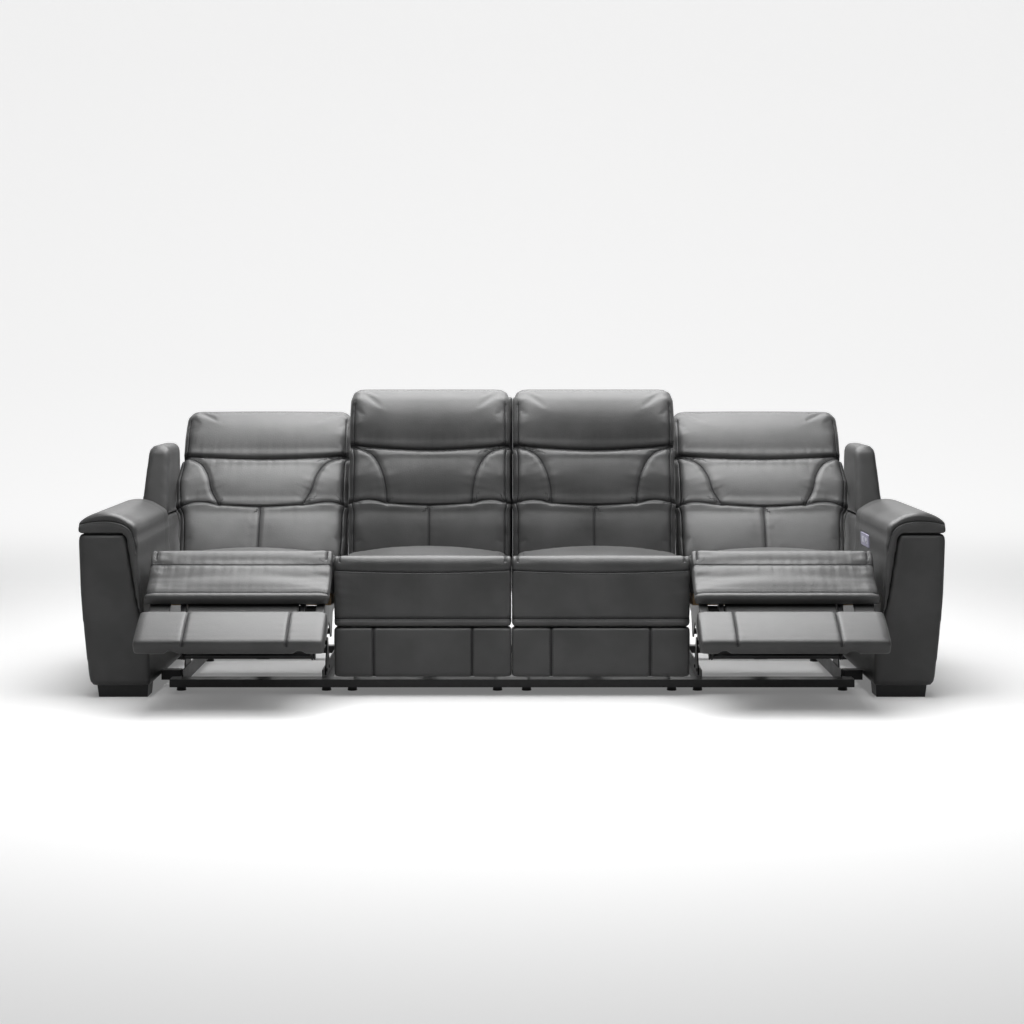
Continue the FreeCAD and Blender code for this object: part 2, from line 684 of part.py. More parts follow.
def chaise_pad(seat):
    """Leather leg rest pad that hangs from the seat's front edge, with a roll at its foot.

    Its top has a notch on each side, where the hinge ears pass.
    """
    half = (seat.high - seat.low) / 2
    middle = (seat.high + seat.low) / 2
    axis_deep = measure("hinge_deep")
    axis_high = measure("hinge_high")
    thick = measure("chaise_thick")
    low = measure("chaise_low")
    seam = measure("chaise_seam_high")
    notch_in = measure("side_plate_in - lane - 4")
    notch_out = measure("side_plate_in + plate_thick + 3")
    notch_drop = measure("2 * pin_radius + 27")
    stations = [(middle - half, 9, 0), (middle - half * 0.95, 2, 0), (middle - half * 0.9, 0, 0)]
    for side in (-1, 1):
        edges = [(notch_out + 1, 0), (notch_out, notch_drop), (notch_in, notch_drop),
                 (notch_in - 1, 0)]
        stations += [(side * x, 0, drop) for x, drop in (edges if side < 0 else edges[::-1])]
        if side < 0:
            stations.append((0, 0, 0))
    stations += [(middle + half * 0.9, 0, 0), (middle + half * 0.95, 2, 0), (middle + half, 9, 0)]
    wires = []
    for x, inset, drop in stations:
        radius = thick / 2 - inset / 2
        top = axis_high - drop
        belly = 4 * (1 - ((x - middle) / half) ** 2)
        wires.append(ring([
            Vector(x, axis_deep + radius, top),
            Vector(x, thick - inset / 2, low + 8),
            (Vector(x, thick - 4 - inset / 2, low + 2),),
            Vector(x, thick - 10, low + inset / 3),
            Vector(x, 12, low + inset / 3),
            (Vector(x, 2 + inset / 2, low + 6),),
            Vector(x, 1 + inset, seam - 4),
            Vector(x, 5 + inset, seam),
            Vector(x, 1 + inset, seam + 4),
            (Vector(x, inset - belly, (seam + top) / 2),),
            Vector(x, axis_deep - radius, top),
            (Vector(x, axis_deep, top + radius),),
        ]))
    pad = soft("chaise_pad_form" + seat.tag, wires)
    return finish("chaise%s_pad" % seat.tag, [pad], seat.chaise)


def chaise_rails(seat):
    """The leg rest's steel frame: a slide tube and a hinge ear on each side."""
    name = "slide" + seat.tag
    front = "chaise_thick + 1"
    long = "slide_high - slide_low"
    outer = box(name + "_outer", "slide_in", front, "slide_low", "slide_wide", "slide_deep", long)
    bore = box(name + "_bore", "slide_in + slide_wall", front + " + slide_wall", "slide_low - 1",
               "slide_wide - 2 * slide_wall", "slide_deep - 2 * slide_wall", long + " + 2")
    bridge = box(name + "_bridge", "slide_in + slide_wide", front, "slide_high - 30",
                 "side_plate_in - lane - slide_in - slide_wide", "slide_deep", "30")

    def draw(sketch):
        rear = "chaise_thick + slide_deep + 1"
        draw_corners(sketch, [
            (front, "slide_high - 30"), (rear, "slide_high - 30"),
            (rear, "hinge_high + 8"), ("hinge_deep + 4", "hinge_high + 14"),
            ("hinge_deep - 9", "hinge_high + 9"), ("hinge_deep - 12", "hinge_high - 4"),
            ("hinge_deep - 2", "hinge_high - 13"), (front, "hinge_high - 15"),
        ])
        draw_hole(sketch, "hinge_deep", "hinge_high", "pin_radius + run_fit")

    ear = side_body(name + "_ear", "side_plate_in - lane", "plate_thick", draw)
    whole = fused(name + "_welded", [cut(name + "_tube", outer, bore), bridge, ear])
    pieces = [whole, mirrored(name + "_side", whole)]
    return finish("chaise%s_rails" % seat.tag, pieces, seat.chaise)


def footrest_pad(seat):
    """Leather foot pad with two upright seams, and the tongue that runs behind the leg rest.

    Its back has a groove on each side, where the steel bars lie.
    """
    half = (seat.high - seat.low) / 2
    middle = (seat.high + seat.low) / 2
    seam = measure("foot_seam_at")
    low = measure("foot_low")
    top = measure("foot_high")
    full = measure("foot_thick")
    groove = measure("chaise_thick + 1 + slide_wall + slide_fit - seat_fit")
    inner = measure("slide_in + 1")
    outer = measure("side_plate_in - lane - 2")
    stations = [(-half, 10, full), (-half + 7, 3, full), (-half + 24, 0, full)]
    for side in (-1, 1):
        near = [(side * seam + step - middle, inset, full) for step, inset in
                ((-6, 0), (0, 4), (6, 0))]
        bars = [(side * x - middle, 0, rear) for x, rear in
                ((outer + 1, full), (outer, groove), (inner, groove), (inner - 1, full))]
        stations += bars + near if side < 0 else near + bars[::-1]
    stations += [(half - 24, 0, full), (half - 7, 3, full), (half, 10, full)]
    wires = []
    for across, inset, rear in stations:
        x = middle + across
        wires.append(ring([
            Vector(x, rear, low + 12 + inset / 2),
            (Vector(x, rear - 4, low + 4 + inset / 2),),
            Vector(x, rear - 13, low + inset / 2),
            Vector(x, 18, low + inset / 2),
            (Vector(x, 5 + inset, low + 6 + inset / 2),),
            Vector(x, 1 + inset, low + 20),
            (Vector(x, inset - 3, (low + top) / 2),),
            Vector(x, 1 + inset, top - 10),
            (Vector(x, 4 + inset, top - 3 - inset / 2),),
            Vector(x, 12, top - inset / 2),
            Vector(x, rear, top - inset / 2),
        ]))
    pad = soft("foot_pad_form" + seat.tag, wires)
    tongue = box("tongue" + seat.tag, "-neck_half_wide", "chaise_thick + 3",
                 "foot_high + seat_fit", "2 * neck_half_wide",
                 "foot_thick - chaise_thick - 3", "neck_long")
    return finish("footrest%s_pad" % seat.tag, [pad, tongue], seat.footrest)


def footrest_brackets(seat):
    """The foot pad's pair of steel bars, which run in the slide tubes, with their link ears."""
    name = "bracket" + seat.tag
    inset = "slide_wall + slide_fit"
    front = "chaise_thick + 1 + " + inset
    deep = "slide_deep - 2 * (%s)" % inset
    bar = box(name + "_bar", "slide_in + " + inset, front, "foot_low + 40",
              "slide_wide - 2 * (%s)" % inset, deep, "slide_high - foot_low - 50")
    shelf_x = "slide_in + slide_wide - slide_wall - slide_fit"
    ear_in = "side_plate_in - 2 * lane - 5"
    shelf = box(name + "_shelf", shelf_x, front, "foot_pin_high - 30",
                "%s + plate_thick - (%s)" % (ear_in, shelf_x), deep, "50")

    def draw(sketch):
        draw_corners(sketch, [
            (front + " + " + deep, "foot_pin_high - 30"), ("foot_pin_deep + 4", "foot_pin_high - 11"),
            ("foot_pin_deep + 11", "foot_pin_high"), ("foot_pin_deep + 4", "foot_pin_high + 11"),
            (front + " + " + deep, "foot_pin_high + 20"),
        ])

    ear = side_body(name + "_ear", ear_in, "plate_thick", draw)
    whole = fused(name + "_welded", [bar, shelf, ear])
    pieces = [whole, mirrored(name + "_side", whole)]
    return finish("footrest%s_brackets" % seat.tag, pieces, seat.footrest)


def rear_links(seat):
    """The pair of rear links, with the knee tube and the drive tube between them."""
    name = "rear_link" + seat.tag

    def draw(sketch):
        draw_strap(sketch, "rear_link_long", "link_wide / 2")
        draw_hole(sketch, "0", "0", "pin_radius + run_fit")

    link = side_body(name, "side_plate_in - lane", "plate_thick", draw)
    start = "-(side_plate_in - lane)"
    tubes = [
        cross_bar(name + "_knee_tube", start, "rear_link_long", "0", "tube_radius",
                  "2 * (side_plate_in - lane)"),
        cross_bar(name + "_drive_tube", start, "drive_arm_long", "0", "drive_tube_radius",
                  "2 * (side_plate_in - lane)"),
    ]
    pieces = [link, mirrored(name + "_other", link)] + tubes
    return finish("rear_links%s" % seat.tag, pieces, seat.rear_link)


def front_links(seat):
    """The pair of front links, which turn on the knee tube and reach the foot brackets."""
    name = "front_link" + seat.tag

    def draw(sketch):
        draw_strap(sketch, "front_link_long", "link_wide / 2 + 1")
        draw_hole(sketch, "0", "0", "tube_radius + run_fit")

    link = side_body(name, "side_plate_in - 2 * lane", "plate_thick", draw)
    head = cross_bar(name + "_head", "side_plate_in - 2 * lane + plate_thick / 2",
                     "front_link_long", "0", "pin_radius + 2", "plate_thick / 2 + 3")
    whole = fused(name + "_welded", [link, head])
    pieces = [whole, mirrored(name + "_other", whole)]
    return finish("front_links%s" % seat.tag, pieces, seat.front_link)


def actuator(seat):
    """The drive: a square outer tube on a clevis, with its gearbox and motor underneath."""
    name = "drive" + seat.tag
    half = "drive_tube_wide / 2"
    outer = box(name + "_outer", "-" + half, "-drive_tube_long", "-" + half,
                "drive_tube_wide", "drive_tube_long - stay_tube_radius - 5", "drive_tube_wide")
    inside = "drive_tube_wide - 2 * drive_tube_wall"
    bore = box(name + "_bore", "drive_tube_wall - " + half, "-drive_tube_long - 1",
               "drive_tube_wall - " + half, inside, "drive_tube_long - gearbox_rear", inside)
    gearbox = box(name + "_gearbox", "-gearbox_wide / 2", "-gearbox_rear - gearbox_long",
                  "-gearbox_drop", "gearbox_wide", "gearbox_long",
                  "gearbox_drop - %s + 0.5" % half)
    motor = post(name + "_motor", "0", "-gearbox_rear - gearbox_long / 2 - 5", "-motor_drop",
                 "motor_radius", "motor_radius", "motor_drop - gearbox_drop + 0.5")

    def draw(sketch):
        front = "-stay_tube_radius - 29"
        reach = "stay_tube_radius + 6"
        draw_corners(sketch, [
            (front, "-" + half), ("8", "-stay_tube_radius - 4"), (reach, "-8"), (reach, "8"),
            ("8", "stay_tube_radius + 4"), (front, half),
        ])
        draw_hole(sketch, "0", "0", "stay_tube_radius + run_fit")

    cheek = side_body(name + "_cheek", half, "drive_tube_wall", draw)
    tube = cut(name + "_tube", outer, bore)
    cheeks = [cheek, mirrored(name + "_cheek_other", cheek)]
    whole = fused(name + "_welded", [tube, gearbox, motor] + cheeks)
    return finish("actuator%s" % seat.tag, [whole], seat.drive)


def drive_rod(seat):
    """The drive's sliding rod and the flat pusher that bears on the drive tube."""
    name = "rod" + seat.tag
    tip = "%.3f - drive_tube_radius - pusher_gap" % seat.drive_closed
    bar = box(name + "_bar", "-drive_rod_wide / 2", "-(%s)" % tip, "-drive_rod_wide / 2",
              "drive_rod_wide", "(%s) - gearbox_rear - 20" % tip, "drive_rod_wide")
    pusher = box(name + "_pusher", "-pusher_wide / 2", "-(%s)" % tip, "-pusher_tall / 2",
                 "pusher_wide", "pusher_thick", "pusher_tall")
    return finish("drive_rod%s" % seat.tag, [fused(name + "_welded", [bar, pusher])], seat.rod)


def on_floor():
    """The place of what doesn't move: only the depth is shifted to the origin."""
    return Placement(Vector(0, -measure("front_to_middle"), 0), Rotation())


def arms():
    """The two upholstered arm panels, wider at the top."""
    outer = "arm_inner_high + arm_wide"
    body = doc.addObject("PartDesign::Body", "arm")
    sketch = body.newObject("Sketcher::SketchObject", "arm_outline")
    sketch.AttachmentSupport = (origin_plane(body, "XZ_Plane"), [""])
    sketch.MapMode = "FlatFace"
    bind(sketch, "AttachmentOffset.Base.z", "-arm_front - arm_long")
    draw_corners(sketch, [
        ("arm_inner_low", "arm_low"), ("arm_outer_low", "arm_low"),
        ("arm_outer_low + 10", "arm_low + 25"), (outer + " - 14", "arm_low + 170"),
        (outer + " - 4", "arm_high - 200"), (outer, "arm_high"),
        ("arm_inner_high", "arm_high"),
        ("arm_inner_low + arm_waist_out", "arm_high - arm_waist_down"),
        ("arm_inner_low", "arm_low + arm_swell_up"),
    ])
    pad = body.newObject("PartDesign::Pad", "arm_block")
    pad.Profile = sketch
    bind(pad, "Length", "arm_long")
    top_in = Vector(measure("arm_inner_high"), 0, measure("arm_high"))
    top_out = Vector(measure(outer), 0, measure("arm_high"))

    def upper(edge):
        ends = [vertex.Point for vertex in edge.Vertexes]
        return len(ends) == 2 and abs(ends[0].y - ends[1].y) > 100 and any(
            abs(ends[0].x - spot.x) < 0.01 and abs(ends[0].z - spot.z) < 0.01
            for spot in (top_in, top_out))

    body = round_edges(body, "arm_rounding", "16", upper)
    return finish("arms", [body, mirrored("arm_other", body)], on_floor())


def arm_pad_form(name, recess):
    """One saddle pad, skinned from front to rear, with or without the control plate's recess."""
    crown = measure("arm_pad_crown")
    thick = measure("arm_pad_thick")
    high = measure("arm_high")
    outer = measure("arm_inner_high + arm_wide")
    inner = measure("arm_pad_inner")
    under = measure("seat_fit")
    front = measure("arm_front")
    rear = front + measure("arm_long - wing_deep - wing_gap")
    end = front + measure("arm_long") - 4
    panel = measure("arm_inner_high")
    waist = measure("arm_inner_low + arm_waist_out")
    waist_high = high - measure("arm_waist_down")
    drape = high - measure("drape_long")
    slope = measure("arm_waist_out") / (waist_high - measure("arm_low + arm_swell_up"))
    tip = waist - slope * (waist_high - drape) - under
    fit = measure("seat_fit")
    half_tall = measure("switch_tall") / 2 + fit
    half_long = measure("switch_long") / 2 + fit
    middle = measure("switch_deep")
    deep_in = measure("switch_thick - switch_proud") + fit if recess else 0
    ledge = measure("ledge_thick")
    raised = [(front - 4, 12, 0), (front + 2, 4, 0), (front + 16, 0, 0)]
    raised += [(middle - half_long - 1, 0, 0), (middle - half_long, 0, deep_in),
               (middle + half_long, 0, deep_in), (middle + half_long + 1, 0, 0)]
    raised += [(rear - 90, 0, 0), (rear - 84, 2, 0), (rear - 78, 0, 0), (rear - 6, 0, 0),
               (rear, 4, 0)]
    stations = [(deep, inset, sunk, thick, crown, 1) for deep, inset, sunk in raised]
    stations += [(rear + 1, 4, 0, ledge + 4, 1, 0.1), (end, 4, 0, ledge + 4, 1, 0.1)]
    wires = []
    for deep, inset, sunk, thick, crown, round_share in stations:
        top = high + thick - inset
        bend = round_share * 6
        side = [pad_side(up, sunk + inset / 2 if abs(up) <= half_tall else inset / 2, deep)
                for up in (half_tall + 1, half_tall, -half_tall, -half_tall - 1)]
        wires.append(ring([
            Vector(panel - 4, deep, high - 22),
            (Vector(panel + 3, deep, high - 4),),
            Vector(panel + 20, deep, high + under),
            Vector(outer - 4, deep, high + under),
            (Vector(outer - 1 - inset / 2, deep, (high + under + top) / 2),),
            Vector(outer - 4 - inset, deep, top),
            (Vector((outer + inner) / 2, deep, top + crown),),
            Vector(inner + 22 + inset / 2, deep, top + bend),
            (Vector(inner + 4 + inset / 2, deep, top - 6),),
            Vector(inner + inset / 2, deep, high - 5),
        ] + side + [
            Vector(inner - 12 + inset / 2, deep, high - 160),
            Vector(inner - 22 + inset / 2, deep, drape + 10),
            Vector(tip, deep, drape),
            Vector(waist - under, deep, waist_high),
        ]))
    return soft(name, wires)


def arm_pads():
    """The saddle pads over the arms and down their inner sides; one holds the control plate."""
    switched = arm_pad_form("arm_pad_right", True)
    plain = mirrored("arm_pad_left", arm_pad_form("arm_pad_plain", False))
    return finish("arm_pads", [switched, plain], on_floor())


def pad_side(up, sunk, deep):
    """A point on the arm pad's sloping inner side, up from the control plate's middle."""
    spot = switch_place().multVec(Vector(up, 0, -sunk))
    return Vector(spot.x, deep, spot.z)


def switch_place():
    """The control plate's frame on the right arm's sloping inner side: Z points out of it."""
    inner = measure("arm_pad_inner")
    high = measure("arm_high")
    slope = math.degrees(math.atan2(12, 155))
    drop = (high - 5 - measure("switch_high")) / 155
    x = inner - 12 * drop
    face = Rotation(Vector(0, 1, 0), -90 - slope)
    spot = Vector(x, measure("switch_deep"), measure("switch_high"))
    return Placement(spot, face)


def switch_block(name, spread):
    """The control plate's block, let into the arm pad, grown by spread on every side."""
    block = doc.addObject("Part::Box", name)
    bind(block, "Length", "switch_tall + 2 * " + spread)
    bind(block, "Width", "switch_long + 2 * " + spread)
    bind(block, "Height", "switch_thick + 2 * " + spread)
    corner = Vector(-measure("switch_tall") / 2 - measure(spread),
                    -measure("switch_long") / 2 - measure(spread),
                    measure("switch_proud - switch_thick") - measure(spread))
    block.Placement = switch_place() * Placement(corner, Rotation())
    return block


def button_block(name, side, grow, low, thick):
    """A button's block in the control plate's frame, or the pocket that it needs."""
    block = doc.addObject("Part::Box", name)
    bind(block, "Length", "button_tall + 2 * (%s)" % grow)
    bind(block, "Width", "button_long + 2 * (%s)" % grow)
    bind(block, "Height", thick)
    corner = Vector(-measure("button_tall") / 2 - measure(grow),
                    side * measure("button_space") - measure("button_long") / 2 - measure(grow),
                    measure(low))
    block.Placement = switch_place() * Placement(corner, Rotation())
    return block


def control_plate():
    """The control plate on the right arm, with a pocket for each button."""
    plate = switch_block("switch_block", "0")
    pockets = [
        button_block("pocket_%d" % index, side, "button_gap",
                     "switch_proud - button_thick + 1 - button_travel - button_gap", "20")
        for index, side in enumerate((-1, 1))
    ]
    body = cut("switch_cut", plate, fused("pockets", pockets))
    return finish("control_plate", [body], on_floor())


def button(label, side):
    """One button, 1 mm proud of its plate at rest."""
    block = button_block(label + "_block", side, "0", "switch_proud - button_thick + 1",
                         "button_thick")
    place = on_floor() * block.Placement
    return finish(label, [block], place)


def wings():
    """The padded wings that stand on the arms beside the end backs."""
    foot = measure("arm_high + ledge_thick + 2 * seat_fit") + 1
    top = measure("wing_high")
    rear = measure("arm_front + arm_long")
    front = measure("arm_front + arm_long - wing_deep")
    inner = measure("arm_pad_inner + 2")
    wires = []
    for share, inset in ((0, 0), (0.5, 0), (0.9, 0), (0.97, 6), (1, 18)):
        wide = measure("wing_wide") + (measure("wing_top_wide") - measure("wing_wide")) * share
        high = foot + (top - foot) * share
        near = front + measure("wing_lean") * share + inset
        far = rear - 8 * share - inset
        left = inner + inset
        right = inner + wide - inset
        bend = measure("wing_radius")
        snug = bend * (1 - math.sqrt(0.5))
        wires.append(ring([
            Vector(left + bend, near, high), Vector(right - bend, near, high),
            (Vector(right - snug, near + snug, high),),
            Vector(right, near + bend, high), Vector(right, far - bend, high),
            (Vector(right - snug, far - snug, high),),
            Vector(right - bend, far, high), Vector(left + bend, far, high),
            (Vector(left + snug, far - snug, high),),
            Vector(left, far - bend, high), Vector(left, near + bend, high),
            (Vector(left + snug, near + snug, high),),
        ]))
    wing = soft("wing_form", wires)
    return finish("wings", [wing, mirrored("wing_other", wing)], on_floor())


def feet(seats):
    """Four block feet under the arms, drawn in towards the floor, and the base's floor glides."""
    pieces = glides(seats)
    for index, deep in enumerate(("arm_front + 24", "arm_front + arm_long - foot_block_deep - 20")):
        block = doc.addObject("Part::Wedge", "foot_block_%d" % index)
        left = "arm_inner_low + 8"
        right = left + " + foot_block_wide"
        near = deep
        far = deep + " + foot_block_deep"
        bind(block, "Ymin", "0")
        bind(block, "Ymax", "arm_low - seat_fit")
        bind(block, "Xmin", left + " + foot_block_taper")
        bind(block, "Xmax", right + " - foot_block_taper")
        bind(block, "Zmin", near + " + foot_block_taper")
        bind(block, "Zmax", far + " - foot_block_taper")
        bind(block, "X2min", left)
        bind(block, "X2max", right)
        bind(block, "Z2min", near)
        bind(block, "Z2max", far)
        block.Placement = Placement(Vector(), Rotation(Vector(1, 0, 0), 90))
        flipped = doc.addObject("Part::Mirroring", "foot_turned_%d" % index)
        flipped.Source = block
        flipped.Normal = (0, 1, 0)
        pieces += [flipped, mirrored("foot_other_%d" % index, flipped)]
    return finish("feet", pieces, on_floor())


def tube_rail(name, front, deep):
    """A rectangular tube across the whole base."""
    half = "(arm_inner_low - rail_end_gap)"
    outer = box(name + "_outer", "-" + half, front, "rail_low", "2 * " + half,
                deep, "rail_high")
    bore = box(name + "_bore", "-%s - 1" % half, front + " + rail_wall",
               "rail_low + rail_wall", "2 * %s + 2" % half, deep + " - 2 * rail_wall",
               "rail_high - 2 * rail_wall")
    return cut(name, outer, bore)


def side_rail(name, seat):
    """A seat's side rail, an angle section, with the riveted ear that holds the tilt pin."""
    start = "rail_front + rail_deep"
    long = "rear_rail_front - rail_front - rail_deep"
    inner = "side_plate_in + lane"
    web = box(name + "_web", inner, start, "rail_low", "plate_thick", long, "side_rail_web")
    flange = box(name + "_flange", inner, start, "rail_low", "side_rail_foot", long, "rail_wall")
    top = "rail_low + side_rail_web"

    def draw(sketch):
        draw_corners(sketch, [
            ("tilt_pin_deep - 60", top + " - 30"), ("tilt_pin_deep + 60", top + " - 30"),
            ("tilt_pin_deep + 60", top), ("tilt_pin_deep + 18", "tilt_pin_high + 8"),
            ("tilt_pin_deep + 8", "tilt_pin_high + 18"), ("tilt_pin_deep - 8", "tilt_pin_high + 18"),
            ("tilt_pin_deep - 18", "tilt_pin_high + 8"), ("tilt_pin_deep - 60", top),
        ])

    ear = side_body(name + "_ear", inner + " + plate_thick", "plate_thick", draw)
    pin = cross_bar(name + "_pin", "side_plate_in - 2.5", "tilt_pin_deep", "tilt_pin_high",
                    "tilt_pin_radius", "lane + 2 * plate_thick + 2.5 - 1")
    rivets = [
        cross_bar("%s_rivet_%d" % (name, index), inner + " + 2 * plate_thick - 1", spot,
                  top + " - 15", "pin_radius", "3.5")
        for index, spot in enumerate(("tilt_pin_deep - 40", "tilt_pin_deep + 40"))
    ]
    return [fused(name + "_angle", [web, flange]), fused(name + "_bracket", [ear, pin] + rivets)]


def base_frame(seats):
    """The steel base: two cross rails, two side rails under each seat and the arms' brackets."""
    pieces = [
        tube_rail("front_rail", "rail_front", "rail_deep"),
        tube_rail("rear_rail", "rear_rail_front", "rear_rail_deep"),
    ]
    for seat in seats:
        for side, word in ((1, "right"), (-1, "left")):
            for part in side_rail("rail_%d_%s" % (seat.number, word), seat):
                if side < 0:
                    part = mirrored(part.Name + "_turned", part)
                doc.recompute()
                part.Placement = Placement(Vector(seat.middle, 0, 0), Rotation())
                pieces.append(part)
        if seat.end:
            for deep in (200, 700):
                inner = "end_mechanism_at + side_plate_in + lane + side_rail_foot"
                bracket = box("arm_bracket_%d_%d" % (seat.number, deep), inner, "%d" % deep,
                              "rail_low", "arm_inner_low - seat_fit - (%s)" % inner, "40", "34")
                if seat.side < 0:
                    bracket = mirrored("arm_bracket_turned_%d" % deep, bracket)
                pieces.append(bracket)
    return finish("base_frame", pieces, on_floor())


def glides(seats):
    """Round floor glides under the ends of the side rails, as a list of posts."""
    pieces = []
    for seat in seats:
        for side in (-1, 1):
            for index, deep in enumerate(("rail_front + rail_deep + glide_inset",
                                          "rear_rail_front - glide_inset")):
                x = "%g + %d * (side_plate_in + lane + side_rail_foot / 2)" % (seat.middle, side)
                name = "glide_%d_%d_%d" % (seat.number, side + 1, index)
                pieces.append(post(name, x, deep, "0", "glide_radius", "glide_top_radius",
                                   "rail_low - seat_fit"))
    return pieces


def check_all():
    """Stops if any object failed or any sub-part isn't a sound solid."""
    doc.recompute()
    for item in doc.Objects:
        if any(state in ("Invalid", "Error") for state in item.State):
            raise RuntimeError("%s failed: %s" % (item.Label, item.State))
    for node in NODES:
        shape = node.Shape
        if shape.isNull() or not shape.isValid() or not shape.Solids:
            raise RuntimeError("%s has no sound solid" % node.Label)
        if any(solid.Volume <= 0 for solid in shape.Solids):
            raise RuntimeError("%s has a solid turned inside out" % node.Label)


def write_all():
    """Writes each sub-part to its own file."""
    os.makedirs("parts", exist_ok=True)
    for node in NODES:
        node.Shape.exportStep("parts/%s.step" % node.Label)


def main():
    """Builds the whole sofa."""
    seats = [Seat(1, -1, True, 1), Seat(2, -1, False, 0), Seat(3, 1, False, 0), Seat(4, 1, True, 1)]
    for seat in seats:
        for make in (seat_cushion, seat_deck, side_plates, back_cushion, back_shell, chaise_pad,
                     chaise_rails, footrest_pad, footrest_brackets, rear_links, front_links,
                     actuator, drive_rod):
            make(seat)
    arms()
    arm_pads()
    wings()
    feet(seats)
    base_frame(seats)
    control_plate()
    button("recline_button", -1)
    button("return_button", 1)
    check_all()
    write_all()
    print("%d sub-parts" % len(NODES))


main()
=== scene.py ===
"""Looks of the reclining sofa: leather on every padded piece, black steel, studio and camera."""

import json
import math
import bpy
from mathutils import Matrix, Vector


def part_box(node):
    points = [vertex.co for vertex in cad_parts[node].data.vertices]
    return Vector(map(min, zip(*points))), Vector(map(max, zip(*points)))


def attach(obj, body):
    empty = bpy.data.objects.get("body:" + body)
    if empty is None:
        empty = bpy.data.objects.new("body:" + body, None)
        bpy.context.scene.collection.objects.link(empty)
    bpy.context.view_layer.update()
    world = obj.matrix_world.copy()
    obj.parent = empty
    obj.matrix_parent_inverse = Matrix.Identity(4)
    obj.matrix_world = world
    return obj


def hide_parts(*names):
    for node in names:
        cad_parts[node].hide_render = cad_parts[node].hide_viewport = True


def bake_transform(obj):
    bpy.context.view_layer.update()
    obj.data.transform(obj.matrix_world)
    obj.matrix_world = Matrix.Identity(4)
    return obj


bl_info = {
    "name": "Reclining Sofa Looks",
    "version": (1, 0, 0),
    "blender": (4, 5, 0),
    "location": "3D View > Sidebar > Sofa",
    "description": "Dresses a packed reclining sofa in leather and sets up its studio",
    "category": "Object",
}

import bmesh
import bpy
import numpy as np
from bpy.props import FloatProperty, FloatVectorProperty, IntProperty, PointerProperty
from mathutils import Matrix, Vector

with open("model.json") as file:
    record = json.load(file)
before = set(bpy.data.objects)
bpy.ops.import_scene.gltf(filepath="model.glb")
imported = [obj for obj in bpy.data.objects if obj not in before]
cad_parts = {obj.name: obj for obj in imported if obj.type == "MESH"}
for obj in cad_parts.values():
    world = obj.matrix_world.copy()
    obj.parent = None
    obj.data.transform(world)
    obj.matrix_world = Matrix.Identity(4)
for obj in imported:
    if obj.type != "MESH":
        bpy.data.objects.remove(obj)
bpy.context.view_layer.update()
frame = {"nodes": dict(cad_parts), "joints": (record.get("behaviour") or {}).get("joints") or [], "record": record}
BEHAVIOUR = frame["record"]["behaviour"]
JOINTS = {joint["name"]: joint for joint in frame["joints"]}
RATIOS = {coupling["joint"]: coupling["ratio"] for coupling in BEHAVIOUR["couplings"]}
RECLINE_OPEN = math.radians(-JOINTS["recline_4"]["range_deg"][0])
TILT_OPEN = RATIOS["tilt_4"] * RECLINE_OPEN
CHAISE_OPEN = RATIOS["chaise_hinge_4"] * RECLINE_OPEN
SLIDE_OPEN = RATIOS["footrest_slide_4"] * RECLINE_OPEN
SEATS = (1, 2, 3, 4)
END_SEATS = (1, 4)
BACK_LEAN = math.radians(12)
BACK_FOOT = Vector((0, 0.155, 0.460))
SEAM_REACH = 0.032
SWELL = 0.0027
CREASE_UP = 0.356
SEAM_UP = 0.155
MEETING = (-0.0012, -0.0015)
REAR_MEETING = (0.0029, 0.0025)
MIDDLE_GAP = 0.02
SEAT_CROWN = 0.024
# Where the closed row's front plane lies: depths into a seat count from here.
ROW_FRONT = -0.375
FRONT = ROW_FRONT - 0.006
SEAT_DEEP = 0.52
FREE_DEEP = 0.012
# Depth and height at the two ends of the stretch where a seat's skin runs over its leg rest's hinge.
BEND_START = (0.050, 0.452)
BEND_END = (0.002, 0.372)
LIP_LOW = 0.437
BRIDGE_LOW = 0.335
CHAISE_SEAM = 0.267
FOOT_SEAM = 0.165
FLAP_IN = 0.238
FLAP_SIDE = 0.014
FLAP_DEPTHS = (0.043, 0.054)
FLAP_HEIGHTS = (0.228, 0.340)
FLAP_CELL = 0.005
FOLD_SEAM = {True: 0.388, False: 0.426}


class SofaLeather(bpy.types.PropertyGroup):
    """Colour and surface of the leather."""

    colour: FloatVectorProperty(
        name="Colour", description="Charcoal of the leather, as a linear colour",
        default=(0.055, 0.055, 0.055), size=3, min=0, max=1, subtype="COLOR")
    worn: FloatVectorProperty(
        name="Rubbed colour", description="Paler tone where the leather is stretched",
        default=(0.078, 0.078, 0.078), size=3, min=0, max=1, subtype="COLOR")
    thread: FloatVectorProperty(
        name="Thread", description="Colour of the stitching",
        default=(0.016, 0.016, 0.017), size=3, min=0, max=1, subtype="COLOR")
    roughness: FloatProperty(
        name="Roughness", description="Roughness of the smooth finish",
        default=0.40, min=0, max=1, subtype="FACTOR")
    grain: FloatProperty(
        name="Grain", description="Size of one pebble of the grain",
        default=0.0017, min=0.0002, max=0.01, unit="LENGTH", precision=4)
    stitch: FloatProperty(
        name="Stitch length", description="One stitch and the space after it",
        default=0.008, min=0.001, max=0.03, unit="LENGTH", precision=4)


